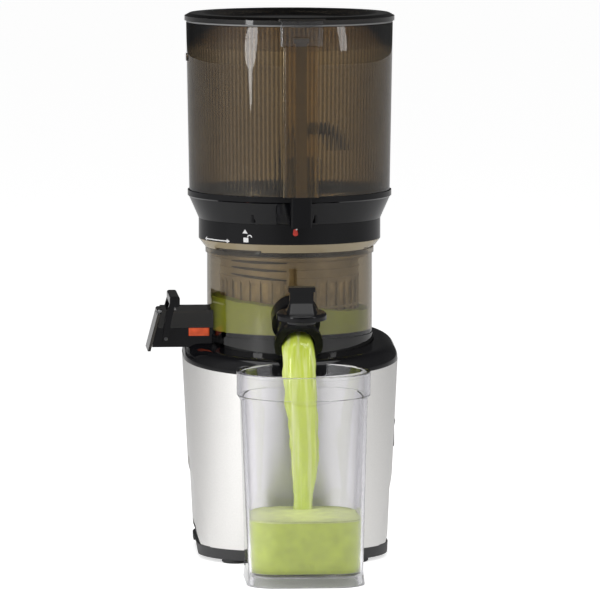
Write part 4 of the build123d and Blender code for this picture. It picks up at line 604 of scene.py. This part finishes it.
# heights on the inner wall and how far the ribs stand out there
HOPPER_INNER = ((425.0, 0), (421.0, 1), (390.0, 1), (350.0, 1), (312.0, 1), (308.0, 0))
RIB_FORM = (0.0, 0.7, 1.0, 0.7)


def arc(cx, cy, radius, start, sweep, steps=10):
    """Points of an arc, from a start angle over a sweep in degrees."""
    return [
        (cx + radius * math.cos(math.radians(start + sweep * i / steps)),
         cy + radius * math.sin(math.radians(start + sweep * i / steps)))
        for i in range(steps + 1)
    ]


def hopper_radius(height):
    """The outer radius of the hopper's wall, which flares above its foot."""
    share = max(0.0, (height - HOPPER_BEND_Z) / (HOPPER_TOP_Z - HOPPER_BEND_Z))
    return HOPPER_FOOT_RADIUS + (HOPPER_TOP_RADIUS - HOPPER_FOOT_RADIUS) * share


def hopper_profile():
    """(radius, height, rib share) once round the hopper's wall section."""
    rise = HOPPER_TOP_Z - HOPPER_BEND_Z
    outer = [HOPPER_FOOT_Z, HOPPER_BEND_Z] + [HOPPER_BEND_Z + rise * i / 4 for i in (1, 2, 3)]
    outer += [HOPPER_TOP_Z - 0.5]
    profile = [(hopper_radius(z), z, 0) for z in outer]
    top = HOPPER_TOP_RADIUS
    profile += [(top - 0.4, HOPPER_TOP_Z, 0), (top - HOPPER_WALL + 0.4, HOPPER_TOP_Z, 0)]
    inner = ((HOPPER_TOP_Z - 0.6, 0),) + HOPPER_INNER + ((HOPPER_FOOT_Z, 0),)
    return profile + [(hopper_radius(z) - HOPPER_WALL, z, share) for z, share in inner]


def hinge_lug(x_low, x_high):
    """Vertices and faces of one ear of the lid's hinge, in mm."""
    wall = HOPPER_TOP_RADIUS - LUG_SINK
    outline = [(wall, LID_HINGE_Z - 6), (LID_HINGE_Y - 1, LID_HINGE_Z - 6)]
    outline += arc(LID_HINGE_Y, LID_HINGE_Z, LUG_ROUND, -40, 200, 14)
    outline += [(wall, LID_HINGE_Z - 1)]
    return loft_rings([[(x, y, z) for y, z in outline] for x in (x_low, x_high)])


def wall_nub():
    """Vertices and faces of the small nub on the hopper's left, in mm."""
    corners = ((-NUB_HALF, NUB_LOW), (NUB_HALF, NUB_LOW), (NUB_HALF, NUB_HIGH), (-NUB_HALF, NUB_HIGH))
    return loft_rings([[(x, y, z) for y, z in corners] for x in NUB_SIDES])


def turned_on_hopper(points):
    """Points in metres, turned with the hopper about its axis."""
    turn = math.radians(HOPPER_TURN)
    c, d = math.cos(turn), math.sin(turn)
    return [((x * c - y * d) * MM, (x * d + y * c) * MM, z * MM) for x, y, z in points]


def add_lumps(vertices, faces):
    """Adds the two hinge ears and the small nub on the left to the hopper's mesh."""
    for lump, lump_faces in [hinge_lug(*sides) for sides in LUG_SIDES] + [wall_nub()]:
        start = len(vertices)
        vertices += turned_on_hopper(lump)
        faces += [tuple(start + i for i in face) for face in lump_faces]


def make_hopper(material):
    """The hopper's wall with its fine inner ribs and the two lugs of the lid's hinge."""
    count = HOPPER_RIBS * len(RIB_FORM)
    profile = hopper_profile()
    rings = []
    for i in range(count):
        angle = 2 * math.pi * i / count
        rise = RIB_FORM[i % len(RIB_FORM)] * HOPPER_RIB_HEIGHT
        rings.append([
            ((r - rise * share) * MM * math.cos(angle), (r - rise * share) * MM * math.sin(angle), z * MM)
            for r, z, share in profile
        ])
    vertices, faces = loft_rings(rings, closed=True)
    add_lumps(vertices, faces)
    made = object_from("hopper_wall", vertices, faces, material, "hopper")
    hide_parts("hopper_tube")
    return made


# ---------------------------------------------------------------- marks on the lock ring
RING_RADIUS = 76.0
MARK_LIFT = 0.03
MARK_THICK = 0.15
MARK_STRIP = 0.8
ARROW_REACH = 17.5
# where each mark's middle is: degrees from the front, height
ARROW_AT = (-57.5, 265.8)
TRIANGLE_AT = (-32.7, 274.4)
PADLOCK_AT = (-32.0, 268.4)
DROP_AT = (-0.2, 274.6)
DOT_AT = (-0.2, 274.9)


def wrapped(name, outlines, place, material):
    """Flat outlines (u to the right, v up, in mm) laid round the lock ring at a place on it."""
    angle, height = place
    work = bmesh.new()
    for outline in outlines:
        work.faces.new([work.verts.new((u, 0, v)) for u, v in outline])
    low = min(u for outline in outlines for u, v in outline)
    high = max(u for outline in outlines for u, v in outline)
    cut = low + MARK_STRIP
    while cut < high:
        geometry = work.verts[:] + work.edges[:] + work.faces[:]
        bmesh.ops.bisect_plane(work, geom=geometry, plane_co=(cut, 0, 0), plane_no=(1, 0, 0))
        cut += MARK_STRIP
    bmesh.ops.recalc_face_normals(work, faces=work.faces)
    solid = bmesh.ops.extrude_face_region(work, geom=work.faces[:])
    for item in solid["geom"]:
        if isinstance(item, bmesh.types.BMVert):
            item.co.y = MARK_THICK
    for vertex in work.verts:
        turn = math.radians(angle) + vertex.co.x / RING_RADIUS
        radius = (RING_RADIUS + MARK_LIFT + vertex.co.y) * MM
        vertex.co = (radius * math.sin(turn), -radius * math.cos(turn), (height + vertex.co.z) * MM)
    bmesh.ops.recalc_face_normals(work, faces=work.faces)
    mesh = bpy.data.meshes.new(name)
    work.to_mesh(mesh)
    work.free()
    mesh.materials.append(material)
    made = bpy.data.objects.new(name, mesh)
    bpy.context.scene.collection.objects.link(made)
    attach(made, "lock_ring")
    return made


def make_marks(white, red):
    """A double arrow, a triangle over an open padlock, and a red drop with a white dot."""
    reach = ARROW_REACH
    shaft = [(-reach + 2, -0.45), (reach - 2, -0.45), (reach - 2, 0.45), (-reach + 2, 0.45)]
    heads = [
        [(-reach, 0), (-reach + 3.4, -1.7), (-reach + 3.4, 1.7)],
        [(reach, 0), (reach - 3.4, 1.7), (reach - 3.4, -1.7)],
    ]
    wrapped("turn_arrow", [shaft] + heads, ARROW_AT, white)
    triangle = [(-2.4, -1.3), (2.4, -1.3), (0, 2.0)]
    wrapped("align_triangle", [triangle], TRIANGLE_AT, white)
    case = [(-2.4, -2.6), (2.2, -2.6), (2.2, 1.2), (-2.4, 1.2)]
    shackle = arc(3.3, 1.6, 2.2, 180, -180) + arc(3.3, 1.6, 1.3, 0, 180)
    wrapped("open_padlock", [case, shackle], PADLOCK_AT, white)
    drop = arc(0, -0.6, 2.3, 200, 140) + [(1.5, 2.4), (0, 3.1), (-1.5, 2.4)]
    wrapped("align_mark", [drop], DROP_AT, red)
    wrapped("align_dot", [arc(1.0, 2.2, 0.75, 0, 324, 9)], DOT_AT, white)


# ---------------------------------------------------------------- stage
LAMP_AIM = (0, -0.03, 0.22)
# name, place, width and height in metres, watts, shape
LAMPS = (
    ("softbox_left", (-1.30, -1.20, 0.88), (0.44, 1.5), 11.0, "ELLIPSE"),
    ("softbox_right", (1.45, -0.9, 1.25), (0.3, 1.2), 5.0, "RECTANGLE"),
    ("softbox_top", (0.0, -0.2, 1.6), (1.2, 1.0), 12.0, "RECTANGLE"),
)
WORLD_LIGHT = 0.45
FLOOR_ALBEDO = 0.8
FLOOR_GLOW = 0.62
FLOOR_HALF = 12.0


def make_camera():
    """The photograph's view: turned, raised and framed by the values at the top."""
    azimuth, elevation = math.radians(CAMERA_AZIMUTH), math.radians(CAMERA_ELEVATION)
    back = Vector((
        math.sin(azimuth) * math.cos(elevation),
        -math.cos(azimuth) * math.cos(elevation),
        math.sin(elevation),
    ))
    right = Vector((math.cos(azimuth), math.sin(azimuth), 0))
    target = Vector((0, 0, CAMERA_TARGET_Z)) + right * CAMERA_TARGET_RIGHT
    data = bpy.data.cameras.new("camera")
    data.lens = CAMERA_LENS
    data.sensor_width = 36.0
    data.clip_start, data.clip_end = 0.1, 100.0
    camera = bpy.data.objects.new("camera", data)
    bpy.context.scene.collection.objects.link(camera)
    camera.location = target + back * CAMERA_DISTANCE
    camera.rotation_mode = "QUATERNION"
    camera.rotation_quaternion = (-back).to_track_quat("-Z", "Y")
    bpy.context.scene.camera = camera


def make_softbox(name, place, size, power, shape):
    data = bpy.data.lights.new(name, "AREA")
    data.shape = shape
    data.size, data.size_y = size
    data.energy = power
    lamp = bpy.data.objects.new(name, data)
    bpy.context.scene.collection.objects.link(lamp)
    lamp.location = place
    lamp.rotation_mode = "QUATERNION"
    lamp.rotation_quaternion = (Vector(LAMP_AIM) - Vector(place)).to_track_quat("-Z", "Y")


def camera_or_mirror(tree):
    """1 for rays that see the backdrop: from the camera, in gloss and through glass."""
    path = node(tree, "ShaderNodeLightPath")
    first = node(tree, "ShaderNodeMath", operation="MAXIMUM")
    second = node(tree, "ShaderNodeMath", operation="MAXIMUM")
    tree.links.new(path.outputs["Is Camera Ray"], first.inputs[0])
    tree.links.new(path.outputs["Is Glossy Ray"], first.inputs[1])
    tree.links.new(first.outputs[0], second.inputs[0])
    tree.links.new(path.outputs["Is Transmission Ray"], second.inputs[1])
    return second.outputs[0]


# how bright the studio is round the object, by azimuth: a share of a turn from -X over -Y
STUDIO = (
    (0.00, 0.72), (0.05, 0.95), (0.10, 1.0), (0.17, 0.8), (0.22, 0.28), (0.28, 0.2),
    (0.33, 0.5), (0.40, 0.7), (0.456, 0.52), (0.50, 0.40), (0.567, 0.24), (0.66, 0.08),
    (0.75, 0.05), (0.84, 0.05), (0.906, 0.16), (0.97, 0.42), (1.00, 0.62),
)


def studio_ring(tree, place):
    """Brightness round the object, for what gloss reflects: open front and back, darker sides."""
    turn = node(tree, "ShaderNodeTexGradient", gradient_type="RADIAL")
    tree.links.new(place, turn.inputs["Vector"])
    ramp = node(tree, "ShaderNodeValToRGB")
    stops = ramp.color_ramp.elements
    while len(stops) < len(STUDIO):
        stops.new(0.5)
    for stop, (position, value) in zip(stops, STUDIO):
        stop.position = position
        stop.color = (value, value, value, 1)
    tree.links.new(turn.outputs["Fac"], ramp.inputs["Fac"])
    return ramp.outputs["Color"]


def seen_colour(tree, place):
    """White to the camera and through glass, and the studio's ring in gloss."""
    path = node(tree, "ShaderNodeLightPath")
    mix = node(tree, "ShaderNodeMixRGB")
    mix.inputs["Color1"].default_value = (1, 1, 1, 1)
    tree.links.new(path.outputs["Is Glossy Ray"], mix.inputs["Fac"])
    tree.links.new(studio_ring(tree, place), mix.inputs["Color2"])
    return mix.outputs["Color"]


def make_world():
    """A plain world light, with the backdrop in front of it for rays that see it."""
    world = bpy.data.worlds.new("studio")
    bpy.context.scene.world = world
    world.use_nodes = True
    tree = world.node_tree
    tree.nodes.clear()
    place = node(tree, "ShaderNodeTexCoord")
    seen = node(tree, "ShaderNodeBackground")
    tree.links.new(seen_colour(tree, place.outputs["Generated"]), seen.inputs["Color"])
    light = node(tree, "ShaderNodeBackground")
    light.inputs["Color"].default_value = (1, 1, 1, 1)
    light.inputs["Strength"].default_value = WORLD_LIGHT
    mix = node(tree, "ShaderNodeMixShader")
    output = node(tree, "ShaderNodeOutputWorld")
    tree.links.new(camera_or_mirror(tree), mix.inputs["Fac"])
    tree.links.new(light.outputs[0], mix.inputs[1])
    tree.links.new(seen.outputs[0], mix.inputs[2])
    tree.links.new(mix.outputs[0], output.inputs["Surface"])


def make_floor():
    """Pale paper that shows near white where the backdrop is seen, and keeps the shadow."""
    material = bpy.data.materials.new("floor_paper")
    material.use_nodes = True
    tree = material.node_tree
    tree.nodes.clear()
    place = node(tree, "ShaderNodeTexCoord")
    paper = node(tree, "ShaderNodeBsdfDiffuse")
    paper.inputs["Color"].default_value = (FLOOR_ALBEDO, FLOOR_ALBEDO, FLOOR_ALBEDO, 1)
    glow = node(tree, "ShaderNodeEmission")
    tree.links.new(seen_colour(tree, place.outputs["Object"]), glow.inputs["Color"])
    strength = node(tree, "ShaderNodeMath", operation="MULTIPLY")
    strength.inputs[1].default_value = FLOOR_GLOW
    tree.links.new(camera_or_mirror(tree), strength.inputs[0])
    tree.links.new(strength.outputs[0], glow.inputs["Strength"])
    both = node(tree, "ShaderNodeAddShader")
    output = node(tree, "ShaderNodeOutputMaterial")
    tree.links.new(paper.outputs[0], both.inputs[0])
    tree.links.new(glow.outputs[0], both.inputs[1])
    tree.links.new(both.outputs[0], output.inputs["Surface"])
    half = FLOOR_HALF
    vertices = [(-half, -half, 0), (half, -half, 0), (half, half, 0), (-half, half, 0)]
    floor = object_from("floor", vertices, [(0, 1, 2, 3)], material)


bpy.context.scene.view_settings.view_transform = "Standard"
make_camera()
for lamp in LAMPS:
    make_softbox(*lamp)
make_world()
make_floor()
MATERIALS = make_materials()
dress_nodes(MATERIALS)
make_drum_juice(MATERIALS["juice"])
make_cup_juice(MATERIALS["foam"], MATERIALS["froth"])
make_stream(MATERIALS["stream"])
# painted shade arcs on the strainer's rings
make_painted_ring_shades(MATERIALS["painted_ring_shade"])
make_hopper(MATERIALS["hopper"])
make_marks(MATERIALS["print_white"], MATERIALS["print_red"])
